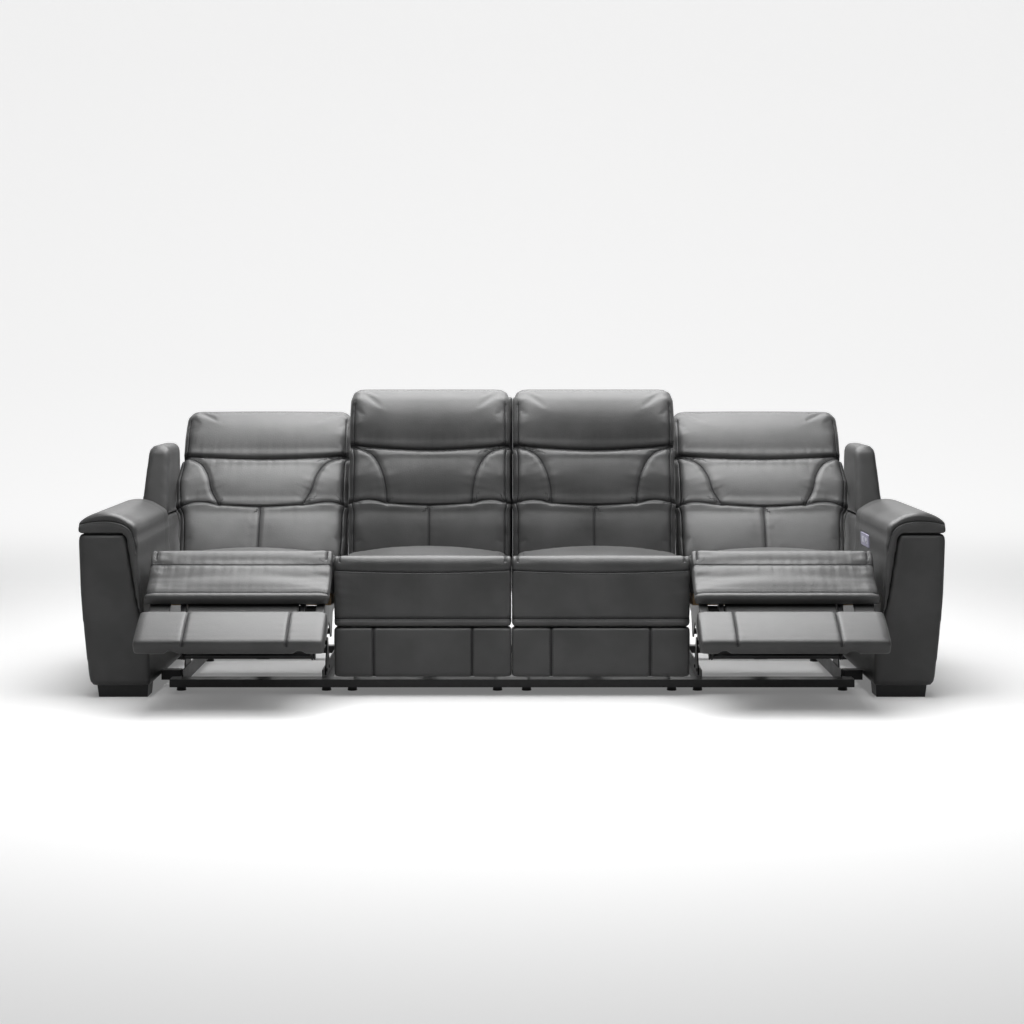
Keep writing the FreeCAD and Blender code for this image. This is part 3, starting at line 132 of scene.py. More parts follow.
class SofaPadding(bpy.types.PropertyGroup):
    """How the padded pieces are made even and filled."""

    cell: FloatProperty(
        name="Cell", description="Size of a mesh cell on the padded pieces",
        default=0.0075, min=0.004, max=0.05, unit="LENGTH", precision=4)
    coarse_cell: FloatProperty(
        name="Coarse cell", description="Size of a mesh cell on panels without seams",
        default=0.011, min=0.004, max=0.05, unit="LENGTH", precision=4)
    pressure: FloatProperty(
        name="Pressure", description="Pressure that fills the cushions", default=4.0,
        min=0, max=20)
    frames: IntProperty(
        name="Frames", description="Steps of the filling", default=20, min=1, max=60)
    swell: FloatProperty(
        name="Most swell", description="The farthest that a point may move while it is filled",
        default=0.012, min=0.0, max=0.04, unit="LENGTH", precision=4)


class SofaStudio(bpy.types.PropertyGroup):
    """Camera, lamps and floor."""

    distance: FloatProperty(
        name="Distance", description="Camera to the middle of the sofa",
        default=6.770, min=1, max=30, unit="LENGTH")
    height: FloatProperty(
        name="Height", description="Height of the camera", default=1.1666, min=0, max=5,
        unit="LENGTH")
    tilt: FloatProperty(
        name="Tilt", description="How far the camera looks down", default=math.radians(4.821),
        min=0, max=1.5, subtype="ANGLE")
    lens: FloatProperty(
        name="Lens", description="Focal length on a 36 mm sensor", default=67.43, min=10, max=300,
        unit="CAMERA")
    floor: FloatVectorProperty(
        name="Floor", description="Colour of the floor and backdrop", default=(0.60, 0.60, 0.60),
        size=3, min=0, max=1, subtype="COLOR")
    bounce: FloatVectorProperty(
        name="Bounce", description="Colour of the floor as it lights the sofa",
        default=(0.30, 0.30, 0.30), size=3, min=0, max=1, subtype="COLOR")
    floor_glow: FloatProperty(
        name="Floor glow", description="Light that the camera adds to the floor", default=0.17,
        min=0, max=2)
    wall_glow: FloatProperty(
        name="Wall glow", description="Light that the camera adds to the backdrop", default=0.82,
        min=0, max=2)


def joint_at(name):
    """Where a joint's axis lies at rest."""
    return Vector(JOINTS[name]["pos_m"])


def placed(kind, number):
    """From a seat's closed frame, X from its middle, to where that body stands at rest."""
    open_share = 1 if number in END_SEATS else 0
    pivot_name = {"seat": "tilt", "back": "recline", "chaise": "chaise_hinge",
                  "footrest": "chaise_hinge"}[kind]
    closed = joint_at("%s_2" % pivot_name)
    closed.x = 0
    rest = joint_at("%s_%d" % (pivot_name, number))
    angle = {"seat": TILT_OPEN, "back": TILT_OPEN + RECLINE_OPEN,
             "chaise": TILT_OPEN + CHAISE_OPEN, "footrest": TILT_OPEN + CHAISE_OPEN}[kind]
    slide = Vector((0, 0, -SLIDE_OPEN * open_share if kind == "footrest" else 0))
    about_x = Matrix.Rotation(angle * open_share, 4, Vector((-1, 0, 0)))
    return Matrix.Translation(rest) @ about_x @ Matrix.Translation(slide - closed)


def new_object(name, mesh):
    """An object of the scene with the given mesh."""
    piece = bpy.data.objects.new(name, mesh)
    bpy.context.scene.collection.objects.link(piece)
    return piece


def baked(piece):
    """Applies every modifier of a piece to its mesh."""
    graph = bpy.context.evaluated_depsgraph_get()
    done = bpy.data.meshes.new_from_object(piece.evaluated_get(graph))
    piece.modifiers.clear()
    old = piece.data
    piece.data = done
    bpy.data.meshes.remove(old)
    return piece


def even_copy(name, node, placing, cell, softened=6, extras=()):
    """A copy of a node's solid in its closed frame, meshed evenly, with softened edges."""
    solid = bmesh.new()
    solid.from_mesh(frame["nodes"][node].data)
    bmesh.ops.remove_doubles(solid, verts=solid.verts, dist=1e-5)
    bmesh.ops.transform(solid, matrix=placing.inverted(), verts=solid.verts)
    for low, high in extras:
        block = bmesh.ops.create_cube(solid, size=1)["verts"]
        bmesh.ops.scale(solid, vec=Vector(high) - Vector(low), verts=block)
        bmesh.ops.translate(solid, vec=(Vector(high) + Vector(low)) / 2, verts=block)
    mesh = bpy.data.meshes.new(name)
    solid.to_mesh(mesh)
    solid.free()
    return evened(new_object(name, mesh), cell, softened)


def evened(piece, cell, softened):
    """Meshes a piece evenly and softens its edges."""
    remesh = piece.modifiers.new("even", "REMESH")
    remesh.mode = "VOXEL"
    remesh.voxel_size = cell
    smooth = piece.modifiers.new("soft", "SMOOTH")
    smooth.factor = 0.5
    smooth.iterations = softened
    return baked(piece)


def flaps(number):
    """Soft flaps beside a foot pad's tongue, which close the view behind the leg rest."""
    low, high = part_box("footrest_%d_pad" % number)
    middle = joint_at("recline_%d" % number).x
    left, right = low[0] - middle, high[0] - middle
    near, far = [ROW_FRONT + deep for deep in FLAP_DEPTHS]
    lower, upper = FLAP_HEIGHTS
    return [((left + FLAP_SIDE, near, lower), (-FLAP_IN, far, upper)),
            ((FLAP_IN, near, lower), (right - FLAP_SIDE, far, upper))]


def points_of(mesh):
    """The mesh's points as an array."""
    flat = np.empty(len(mesh.vertices) * 3)
    mesh.vertices.foreach_get("co", flat)
    return flat.reshape(-1, 3)


def normals_of(mesh):
    """The points' normals as an array."""
    flat = np.empty(len(mesh.vertices) * 3)
    mesh.vertices.foreach_get("normal", flat)
    return flat.reshape(-1, 3)


def move_points(mesh, points):
    """Sets the mesh's points."""
    mesh.vertices.foreach_set("co", points.ravel())
    mesh.update()


def leaned(points):
    """Points of the closed frame as across, up along the back's lean and out of its front."""
    away = points - np.array(BACK_FOOT)
    up = away[:, 1] * math.sin(BACK_LEAN) + away[:, 2] * math.cos(BACK_LEAN)
    out = -away[:, 1] * math.cos(BACK_LEAN) + away[:, 2] * math.sin(BACK_LEAN)
    return np.column_stack([points[:, 0], up, out])


def along_line(across, up, line):
    """Signed distance from a line of points, and how far along it the nearest point is."""
    best = np.full(len(across), 9.0)
    signed = np.full(len(across), 9.0)
    along = np.zeros(len(across))
    run = 0.0
    for (x0, y0), (x1, y1) in zip(line, line[1:]):
        length = math.hypot(x1 - x0, y1 - y0)
        ux, uy = (x1 - x0) / length, (y1 - y0) / length
        share = (across - x0) * ux + (up - y0) * uy
        held = np.clip(share, 0, length)
        away = np.hypot(across - x0 - held * ux, up - y0 - held * uy)
        side = np.sign((across - x0) * uy - (up - y0) * ux)
        nearer = away < best
        best = np.where(nearer, away, best)
        signed = np.where(nearer, away * side, signed)
        along = np.where(nearer, run + held, along)
        run += length
    return signed, along


def smooth_line(points, steps=6):
    """A rounder line through the given points."""
    rounded = []
    count = len(points)
    for index in range(count - 1):
        p0 = points[max(index - 1, 0)]
        p1 = points[index]
        p2 = points[index + 1]
        p3 = points[min(index + 2, count - 1)]
        for step in range(steps):
            t = step / steps
            rounded.append(tuple(
                0.5 * (2 * b + (c - a) * t + (2 * a - 5 * b + 4 * c - d) * t ** 2
                       + (3 * b - a - 3 * c + d) * t ** 3)
                for a, b, c, d in zip(p0, p1, p2, p3)))
    rounded.append(points[-1])
    return rounded


class Seams:
    """The sewn lines of one piece: they pinch its mesh and mark where thread and groove go, and the groove mark
    also sets where shade is painted into the groove.
    """

    def __init__(self, mesh):
        self.mesh = mesh
        self.points = points_of(mesh)
        self.normals = normals_of(mesh)
        count = len(self.points)
        self.distance = np.full(count, 1.0)
        self.along = np.zeros(count)
        self.strength = np.zeros(count)
        self.move = np.zeros(count)

    def sew(self, flat, line, shown, depth=0.004, width=0.012, pucker=0.0, stitched=1.0):
        """Adds a seam along a line in the flat view, where shown says how much of it is there."""
        distance, along = along_line(flat[:, 0], flat[:, 1], line)
        near = np.abs(distance) < np.abs(self.distance)
        near &= shown > 0.01
        reach = np.clip(1.6 - np.abs(distance) / (SEAM_REACH / 1.6), 0, 1)
        self.distance = np.where(near, distance, self.distance)
        self.along = np.where(near, along * stitched, self.along)
        self.strength = np.where(near, reach * shown, self.strength)
        self.move -= shown * depth * np.exp(-(distance / width) ** 2)
        if pucker:
            ripple = np.sin(along * 170 + 3 * np.sin(along * 23)) * np.sin(along * 61 + 1)
            fade = np.exp(-np.abs(distance) / 0.022) - np.exp(-np.abs(distance) / 0.007)
            self.move += shown * pucker * ripple * fade

    def finish(self):
        """Moves the points and stores the seams on the mesh."""
        move_points(self.mesh, self.points + self.normals * self.move[:, None])
        stored = self.mesh.attributes.new("seam", "FLOAT_VECTOR", "POINT")
        rows = np.column_stack([self.distance, self.along, self.strength])
        stored.data.foreach_set("vector", rows.ravel())


def ramp(value, low, high):
    """0 below low, 1 above high and smooth between them."""
    share = np.clip((value - low) / (high - low), 0, 1)
    return share * share * (3 - 2 * share)


def fill(piece, held):
    """Fills a padded piece with pressure; held is 1 where it is fixed and 0 where it is free."""
    padding = bpy.context.scene.sofa_padding
    start = points_of(piece.data)
    group = piece.vertex_groups.new(name="held")
    for level in range(1, 11):
        chosen = np.nonzero(np.round(held * 10) == level)[0]
        group.add(chosen.tolist(), level / 10, "REPLACE")
    cloth = piece.modifiers.new("filled", "CLOTH")
    cloth.settings.vertex_group_mass = "held"
    cloth.settings.use_pressure = True
    cloth.settings.uniform_pressure_force = padding.pressure
    cloth.settings.effector_weights.gravity = 0
    cloth.settings.tension_stiffness = 40
    cloth.settings.compression_stiffness = 40
    cloth.settings.bending_stiffness = 2
    cloth.settings.quality = 4
    cloth.collision_settings.use_collision = False
    scene = bpy.context.scene
    cloth.point_cache.frame_start = 1
    cloth.point_cache.frame_end = padding.frames
    for number in range(1, padding.frames + 1):
        scene.frame_set(number)
    baked(piece)
    scene.frame_set(1)
    moved = points_of(piece.data) - start
    length = np.linalg.norm(moved, axis=1)
    share = np.minimum(1, padding.swell / np.maximum(length, 1e-9))
    move_points(piece.data, start + moved * share[:, None])
    piece.vertex_groups.clear()
    return piece


def dressed(piece, node, body, placing, material, mirror=False, more_nodes=()):
    """Sets a finished piece in its place, on its body, in its material, in a node's stead."""
    mesh = piece.data
    if mirror:
        mesh.transform(Matrix.Scale(-1, 4, Vector((1, 0, 0))))
        mesh.flip_normals()
    mesh.transform(placing)
    close_up(mesh, node)
    mesh.shade_smooth()
    mesh.materials.clear()
    mesh.materials.append(material)
    if body:
        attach(piece, body)
    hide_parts(node, *more_nodes)
    return piece


def close_up(mesh, node):
    """Lets a piece's sides swell until they nearly meet the neighbours'."""
    low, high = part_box(node)
    wide = high[0] - low[0]
    if wide > 1:
        return
    points = points_of(mesh)
    left, right = points[:, 0].min(), points[:, 0].max()
    new_left, new_right = low[0] - SWELL, high[0] + SWELL
    meeting = REAR_MEETING if node.endswith("shell") else MEETING
    if abs(low[0]) < MIDDLE_GAP:
        new_left = meeting[0]
    if abs(high[0]) < MIDDLE_GAP:
        new_right = meeting[1]
    share = (points[:, 0] - left) / (right - left)
    points[:, 0] = new_left + share * (new_right - new_left)
    move_points(mesh, points)


def in_pairs(kind, part, make):
    """Makes a padded part for seats 3 and 4 and gives its mirror image to seats 2 and 1."""
    material = bpy.data.materials["sofa_leather"]
    for number, twin in ((4, 1), (3, 2)):
        node = "%s_%d_%s" % (kind, number, part)
        piece = make(number, node)
        copy = new_object("%s_%d_%s_leather" % (kind, twin, part), piece.data.copy())
        piece.name = "%s_%d_%s_leather" % (kind, number, part)
        dressed(piece, node, "%s_%d" % (kind, number), placed(kind, number), material)
        dressed(copy, "%s_%d_%s" % (kind, twin, part), "%s_%d" % (kind, twin),
                placed(kind, twin), material, mirror=True)


def extent(points, axis, low, high, by=2):
    """The lowest and highest of one axis among the points between two heights."""
    inside = (points[:, by] > low) & (points[:, by] < high)
    return points[inside, axis].min(), points[inside, axis].max()


def make_back(number, node):
    """One back cushion: headrest, lumbar roll and lower panel, sewn and piped."""
    padding = bpy.context.scene.sofa_padding
    piece = even_copy(node + "_skin", node, placed("back", number), padding.cell, 5)
    flat = leaned(points_of(piece.data))
    low_left, low_right = extent(flat, 0, 0.02, 0.12, by=1)
    left, right = extent(flat, 0, 0.20, 0.30, by=1)
    middle = (left + right) / 2
    half = (right - left) / 2
    crease = smooth_line([(left - 0.02, 0.374), (left + 0.09, 0.362), (middle, 0.351),
                          (right - 0.09, 0.362), (right + 0.02, 0.374)])
    seam = smooth_line([(low_left - 0.02, 0.153), (low_left + 0.054, 0.168),
                        (low_left + 0.109, 0.166), (middle - 0.15, 0.156), (middle, 0.145),
                        (middle + 0.15, 0.156), (low_right - 0.109, 0.166),
                        (low_right - 0.054, 0.168), (low_right + 0.02, 0.153)])
    sides = [smooth_line([(middle + side * (half - 0.004), 0.366),
                          (middle + side * (half - 0.05), 0.352),
                          (middle + side * (half - 0.091), 0.328),
                          (middle + side * (half - 0.120), 0.277),
                          (middle + side * (half - 0.136), 0.215), (middle + side * 0.155, 0.157)])
             for side in (-1, 1)]
    centre = [(middle, 0.146), (middle, -0.09)]
    free = np.ones(len(flat))
    for line in [crease, seam, centre] + sides:
        distance = along_line(flat[:, 0], flat[:, 1], line)[0]
        free = np.minimum(free, ramp(np.abs(distance), 0.004, 0.05))
    front = ramp(flat[:, 2], -0.085, -0.045)
    fill(piece, 1 - free * front)
    seams = Seams(piece.data)
    flat = leaned(seams.points)
    facing = ramp(-seams.normals[:, 1], 0.05, 0.35) * ramp(flat[:, 2], -0.08, -0.05)
    seams.move += 0.012 * facing * np.exp(-((flat[:, 1] - CREASE_UP) / 0.020) ** 2)
    seams.move += 0.013 * facing * np.exp(-((flat[:, 1] - SEAM_UP) / 0.018) ** 2)
    seams.sew(flat, crease, facing, depth=0.010, width=0.009, pucker=0.0028)
    seams.sew(flat, seam, facing, depth=0.006, width=0.008, pucker=0.0018)
    for line in sides:
        seams.sew(flat, line, facing * ramp(0.375 - flat[:, 1], 0, 0.01), depth=0.007,
                  width=0.009, pucker=0.002)
    seams.sew(flat, centre, facing * ramp(0.150 - flat[:, 1], 0, 0.01), depth=0.005, width=0.008,
              pucker=0.001)
    heights = [-0.05, 0.03, 0.09, 0.145, 0.19, 0.25, 0.31, 0.35, 0.40, 0.46, 0.52]
    ends = [extent(flat, 0, up - 0.012, up + 0.012, by=1) for up in heights]
    for side, ends_of in ((1, [pair[0] for pair in ends]), (-1, [pair[1] for pair in ends])):
        line = smooth_line([(x + side * 0.017, up) for x, up in zip(ends_of, heights)])
        seams.sew(flat, line, facing_side(seams, flat), depth=0.003, width=0.006)
    seams.finish()
    return piece


def facing_side(seams, flat):
    """How far the points belong to a back cushion's front and rounded edges."""
    return ramp(-seams.normals[:, 1], -0.1, 0.1) * ramp(flat[:, 2], -0.08, -0.05)


def part_of(node, placing, keep):
    """A copy of a node's points in a closed frame, cut down to what keep says, as a bmesh."""
    solid = bmesh.new()
    solid.from_mesh(frame["nodes"][node].data)
    bmesh.ops.remove_doubles(solid, verts=solid.verts, dist=1e-5)
    bmesh.ops.transform(solid, matrix=placing.inverted(), verts=solid.verts)
    if keep:
        point, normal = keep
        bmesh.ops.bisect_plane(solid, geom=solid.verts[:] + solid.edges[:] + solid.faces[:],
                               plane_co=point, plane_no=normal, clear_outer=True)
    return solid


def add_part(whole, part, matrix=None):
    """Adds a part's mesh to a whole, moved by a matrix."""
    mesh = bpy.data.meshes.new("part")
    if matrix is not None:
        bmesh.ops.transform(part, matrix=matrix, verts=part.verts)
    part.to_mesh(mesh)
    part.free()
    whole.from_mesh(mesh)
    bpy.data.meshes.remove(mesh)


def seat_skin(number, name, cell, softened):
    """Seat cushion and leg rest as one even skin, in the seat's closed frame at rest."""
    seat_node = "seat_%d_cushion" % number
    chaise_node = "chaise_%d_pad" % number
    seat_place = placed("seat", number)
    chaise_place = placed("chaise", number)
    hung = seat_place.inverted() @ chaise_place
    whole = bmesh.new()
    add_part(whole, part_of(seat_node, seat_place, None))
    add_part(whole, part_of(chaise_node, chaise_place, None), hung)
    bridge = bmesh.new()
    front = (Vector((0, FRONT + 0.040, 0)), Vector((0, 1, 0)))
    lip = part_of(seat_node, seat_place, front)
    low = [vert for vert in lip.verts if vert.co.z < LIP_LOW - 0.004]
    bmesh.ops.delete(lip, geom=low, context="VERTS")
    add_part(bridge, lip)
    upper = (Vector((0, 0, BRIDGE_LOW)), Vector((0, 0, -1)))
    add_part(bridge, part_of(chaise_node, chaise_place, upper), hung)
    bmesh.ops.convex_hull(bridge, input=bridge.verts)
    inner = [vert for vert in bridge.verts if not vert.link_faces]
    bmesh.ops.delete(bridge, geom=inner, context="VERTS")
    add_part(whole, bridge)
    mesh = bpy.data.meshes.new(name)
    whole.to_mesh(mesh)
    whole.free()
    return evened(new_object(name, mesh), cell, softened)


def make_seat(number):
    """One seat: the crowned cushion that runs over the hinge into the leg rest's pad."""
    padding = bpy.context.scene.sofa_padding
    piece = seat_skin(number, "seat_%d_skin" % number, padding.cell, 5)
    hung = placed("seat", number).inverted() @ placed("chaise", number)
    points = points_of(piece.data)
    in_chaise = np.array(hung.inverted())
    left, right = extent(points, 0, 0.36, 0.42)
    local = points @ in_chaise[:3, :3].T + in_chaise[:3, 3]
    side = np.minimum(points[:, 0] - left, right - points[:, 0])
    free = ramp(side, 0.006, 0.09) * np.maximum(
        ramp(points[:, 2], 0.435, 0.458), ramp(0.420 - local[:, 2], 0, 0.03)
        * ramp(ROW_FRONT + FREE_DEEP - local[:, 1], 0, 0.010)
        * ramp(np.abs(local[:, 2] - CHAISE_SEAM), 0.004, 0.03))
    fill(piece, 1 - free)
    seams = Seams(piece.data)
    points = seams.points
    local = points @ in_chaise[:3, :3].T + in_chaise[:3, 3]
    outward = seams.normals @ in_chaise[:3, :3].T
    fold = np.column_stack([points[:, 0], local[:, 2]])
    facing = ramp(-outward[:, 1], 0.05, 0.3)
    left, right = points[:, 0].min(), points[:, 0].max()
    middle = (left + right) / 2
    edge = FOLD_SEAM[number in END_SEATS]
    sagged = smooth_line([(left, edge + 0.004), (middle - 0.15, edge - 0.001),
                          (middle, edge - 0.003), (middle + 0.15, edge - 0.001),
                          (right, edge + 0.004)])
    on_top = ramp(-outward[:, 1] + 0.4 * outward[:, 2], 0.05, 0.3)
    seams.sew(fold, sagged, on_top, depth=0.004, width=0.010, pucker=0.0022)
    low = CHAISE_SEAM
    seams.sew(fold, [(left, low), (right, low)], facing, depth=0.006, width=0.009, pucker=0.0014)
    rear = points[:, 1].max()
    up = ramp(seams.normals[:, 2], 0.1, 0.4) * ramp(local[:, 2] - 0.40, 0, 0.02)
    for x in (left + 0.020, right - 0.020):
        seams.sew(points[:, :2], [(x, -0.39), (x, rear)], up, depth=0.003, width=0.006,
                  pucker=0.0012)
    across = np.clip(1 - ((points[:, 0] - middle) / (middle - left)) ** 2, 0, 1) ** 0.7
    along = ramp(points[:, 1], FRONT, 0.16) * ramp(ROW_FRONT + SEAT_DEEP - points[:, 1], 0, 0.16)
    seams.move += SEAT_CROWN * across * along * ramp(seams.normals[:, 2], 0.2, 0.6)
    wrinkle_seat(seams, local, left, right)
    seams.finish()
    return piece


def wrinkle_seat(seams, local, left, right):
    """Soft creases that run in from the ends of the fold between cushion and leg rest."""
    points = seams.points
    side = np.minimum(points[:, 0] - left, right - points[:, 0])
    near = np.exp(-side / 0.045) * ramp(side, 0.004, 0.02)
    height = local[:, 2] - CHAISE_SEAM
    bend = 16 * side + 1.3 * np.sin(points[:, 0] * 9)
    fan = np.sin(height * 150 + bend) * np.sin(height * 67 + 2.1)
    fan *= ramp(height, 0.02, 0.06) * ramp(0.22 - height, 0, 0.05)
    seams.move += 0.0030 * near * fan


def make_footrest(number, node):
    """One foot pad with its two upright seams and the soft tongue above it."""
    piece = even_copy(node + "_skin", node, placed("footrest", number), FLAP_CELL, 3,
                      flaps(number))
    seams = Seams(piece.data)
    flat = seams.points[:, [0, 2]]
    facing = ramp(-seams.normals[:, 1], 0.0, 0.3) * ramp(0.24 - flat[:, 1], 0, 0.004)
    for x in (-FOOT_SEAM, FOOT_SEAM):
        seams.move += 0.002 * facing * np.exp(-((flat[:, 0] - x) / 0.006) ** 2)
        seams.sew(flat, [(x, 0.05), (x, 0.25)], facing, depth=0.003, width=0.006, pucker=0.0008)
    seams.finish()
    return piece


def make_shell(number, node):
    """The upholstered back of one seat's backrest."""
    padding = bpy.context.scene.sofa_padding
    return even_copy(node + "_skin", node, placed("back", number), padding.coarse_cell, 4)


class SOFA_OT_materials(bpy.types.Operator):
    """Makes every material of the sofa"""

    bl_idname = "sofa.materials"
    bl_label = "Materials"

    def execute(self, context):
        leather_material()
        steel_material("black_steel", (0.012, 0.012, 0.013), 0.38, 0.0)
        steel_material("drive_black", (0.016, 0.016, 0.018), 0.5, 0.0)
        steel_material("bare_steel", (0.42, 0.42, 0.43), 0.32, 1.0)
        plain_material("foot_plastic", (0.009, 0.009, 0.010), 0.42)
        plain_material("plate_plastic", (0.30, 0.29, 0.38), 0.3)
        plain_material("button_plastic", (0.50, 0.50, 0.56), 0.28)
        wood_material()
        for name, node in frame["nodes"].items():
            slot = next(row["material_slot"] for row in frame["record"]["subparts"]
                        if row["node"] == name)
            node.data.materials.clear()
            node.data.materials.append(bpy.data.materials["sofa_" + slot])
        return {"FINISHED"}


class SOFA_OT_backs(bpy.types.Operator):
    """Makes the back cushions"""

    bl_idname = "sofa.backs"
    bl_label = "Back cushions"

    def execute(self, context):
        in_pairs("back", "cushion", make_back)
        return {"FINISHED"}


class SOFA_OT_seats(bpy.types.Operator):
    """Makes the seat cushions"""

    bl_idname = "sofa.seats"
    bl_label = "Seat cushions"

    def execute(self, context):
        material = bpy.data.materials["sofa_leather"]
        for number, twin in ((4, 1), (3, 2)):
            piece = make_seat(number)
            copy = new_object("seat_%d_leather" % twin, piece.data.copy())
            piece.name = "seat_%d_leather" % number
            dress_seat(piece, number, material, False)
            dress_seat(copy, twin, material, True)
        return {"FINISHED"}


def dress_seat(piece, number, material, mirror):
    """Sets a seat's skin in its place, on no body."""
    dressed(piece, "seat_%d_cushion" % number, None, placed("seat", number),
            material, mirror=mirror, more_nodes=("chaise_%d_pad" % number,))
    start = placed("seat", number) @ Vector((0, ROW_FRONT + BEND_START[0], BEND_START[1]))
    end = placed("chaise", number) @ Vector((0, ROW_FRONT + BEND_END[0], BEND_END[1]))
    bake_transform(piece)


class SOFA_OT_leg_rests(bpy.types.Operator):
    """Makes the foot pads under the leg rests"""

    bl_idname = "sofa.leg_rests"
    bl_label = "Leg rests"

    def execute(self, context):
        in_pairs("footrest", "pad", make_footrest)
        return {"FINISHED"}


class SOFA_OT_shells(bpy.types.Operator):
    """Makes the upholstered frames behind the back cushions"""

    bl_idname = "sofa.shells"
    bl_label = "Back shells"

    def execute(self, context):
        for number in SEATS:
            dress_shell(number)
        return {"FINISHED"}


def dress_shell(number):
    """Leather over a back shell."""
    node = "back_%d_shell" % number
    piece = make_shell(number, node)
    piece.name = node + "_leather"
    dressed(piece, node, "back_%d" % number, placed("back", number),
            bpy.data.materials["sofa_leather"])


class SOFA_OT_arms(bpy.types.Operator):
    """Makes the arms, their saddle pads and the wings"""

    bl_idname = "sofa.arms"
    bl_label = "Arms"

    def execute(self, context):
        padding = context.scene.sofa_padding
        material = bpy.data.materials["sofa_leather"]
        still = Matrix.Identity(4)
        arms = even_copy("arms_leather", "arms", still, padding.coarse_cell, 4)
        dressed(arms, "arms", "root", still, material)
        pads = even_copy("arm_pads_leather", "arm_pads", still, padding.cell, 4)
        sew_arm_pads(pads)
        dressed(pads, "arm_pads", "root", still, material)
        wings = even_copy("wings_leather", "wings", still, padding.coarse_cell, 3)
        dressed(wings, "wings", "root", still, material)
        return {"FINISHED"}


def sew_arm_pads(piece):
    """The stitched seam round the pads' front edge and the cross seam near their rear."""
    seams = Seams(piece.data)
    flat = np.column_stack([np.abs(seams.points[:, 0]), seams.points[:, 2]])
    facing = ramp(-seams.normals[:, 1], 0.1, 0.4) * ramp(-seams.points[:, 1], 0.3, 0.36)
    edge = smooth_line([(1.46, 0.586), (1.40, 0.596), (1.33, 0.596), (1.283, 0.578),
                        (1.262, 0.54), (1.250, 0.47), (1.243, 0.37), (1.232, 0.25)])
    seams.sew(flat, edge, facing, depth=0.004, width=0.009, pucker=0.001)
    over = np.column_stack([seams.points[:, 1], seams.points[:, 2]])
    rear = seams.points[:, 1].max() - 0.084
    turned = 1 - ramp(np.abs(seams.normals[:, 1]), 0.5, 0.8)
    seams.sew(over, [(rear, 0.2), (rear, 0.7)], turned, depth=0.003, width=0.008, pucker=0.001)
    seams.finish()


class SOFA_OT_studio(bpy.types.Operator):
    """Sets up the camera, the lamps, the floor and the backdrop"""

    bl_idname = "sofa.studio"
    bl_label = "Studio"

    def execute(self, context):
        studio = context.scene.sofa_studio
        lens = bpy.data.cameras.new("camera")
        lens.lens = studio.lens
        lens.sensor_width = 36
        lens.clip_end = 100
        camera = new_object("camera", lens)
        camera.location = (0, -studio.distance, studio.height)
        camera.rotation_euler = (math.pi / 2 - studio.tilt, 0, 0)
        context.scene.camera = camera
        context.scene.view_settings.view_transform = "Standard"
        backdrop(studio)
        lamp("key", (-1.8, -2.4, 3.8), (0, 0, 0.6), 2.4, 30)
        lamp("side", (2.2, -2.0, 3.8), (0, 0, 0.6), 2.4, 22)
        lamp("top", (0, 0.9, 3.3), (0, -0.1, 0.5), 3.6, 170)
        lamp("over", (0, -0.5, 3.1), (0, -0.4, 0), 3.2, 140)
        sky()
        return {"FINISHED"}


def lamp(name, place, target, size, power):
    """A soft square lamp that looks at a point."""
    light = bpy.data.lights.new(name, "AREA")
    light.shape = "SQUARE"
    light.size = size
    light.energy = power
    holder = new_object(name, light)
    holder.location = place
    aim = Vector(target) - Vector(place)
    holder.rotation_euler = aim.to_track_quat("-Z", "Y").to_euler()


def sky():
    """Even white surroundings."""
    world = bpy.data.worlds.new("studio_white")
    world.use_nodes = True
    nodes = world.node_tree.nodes
    shade = nodes["Background"]
    shade.inputs["Color"].default_value = (1, 1, 1, 1)
    shade.inputs["Strength"].default_value = 0.05
    bpy.context.scene.world = world


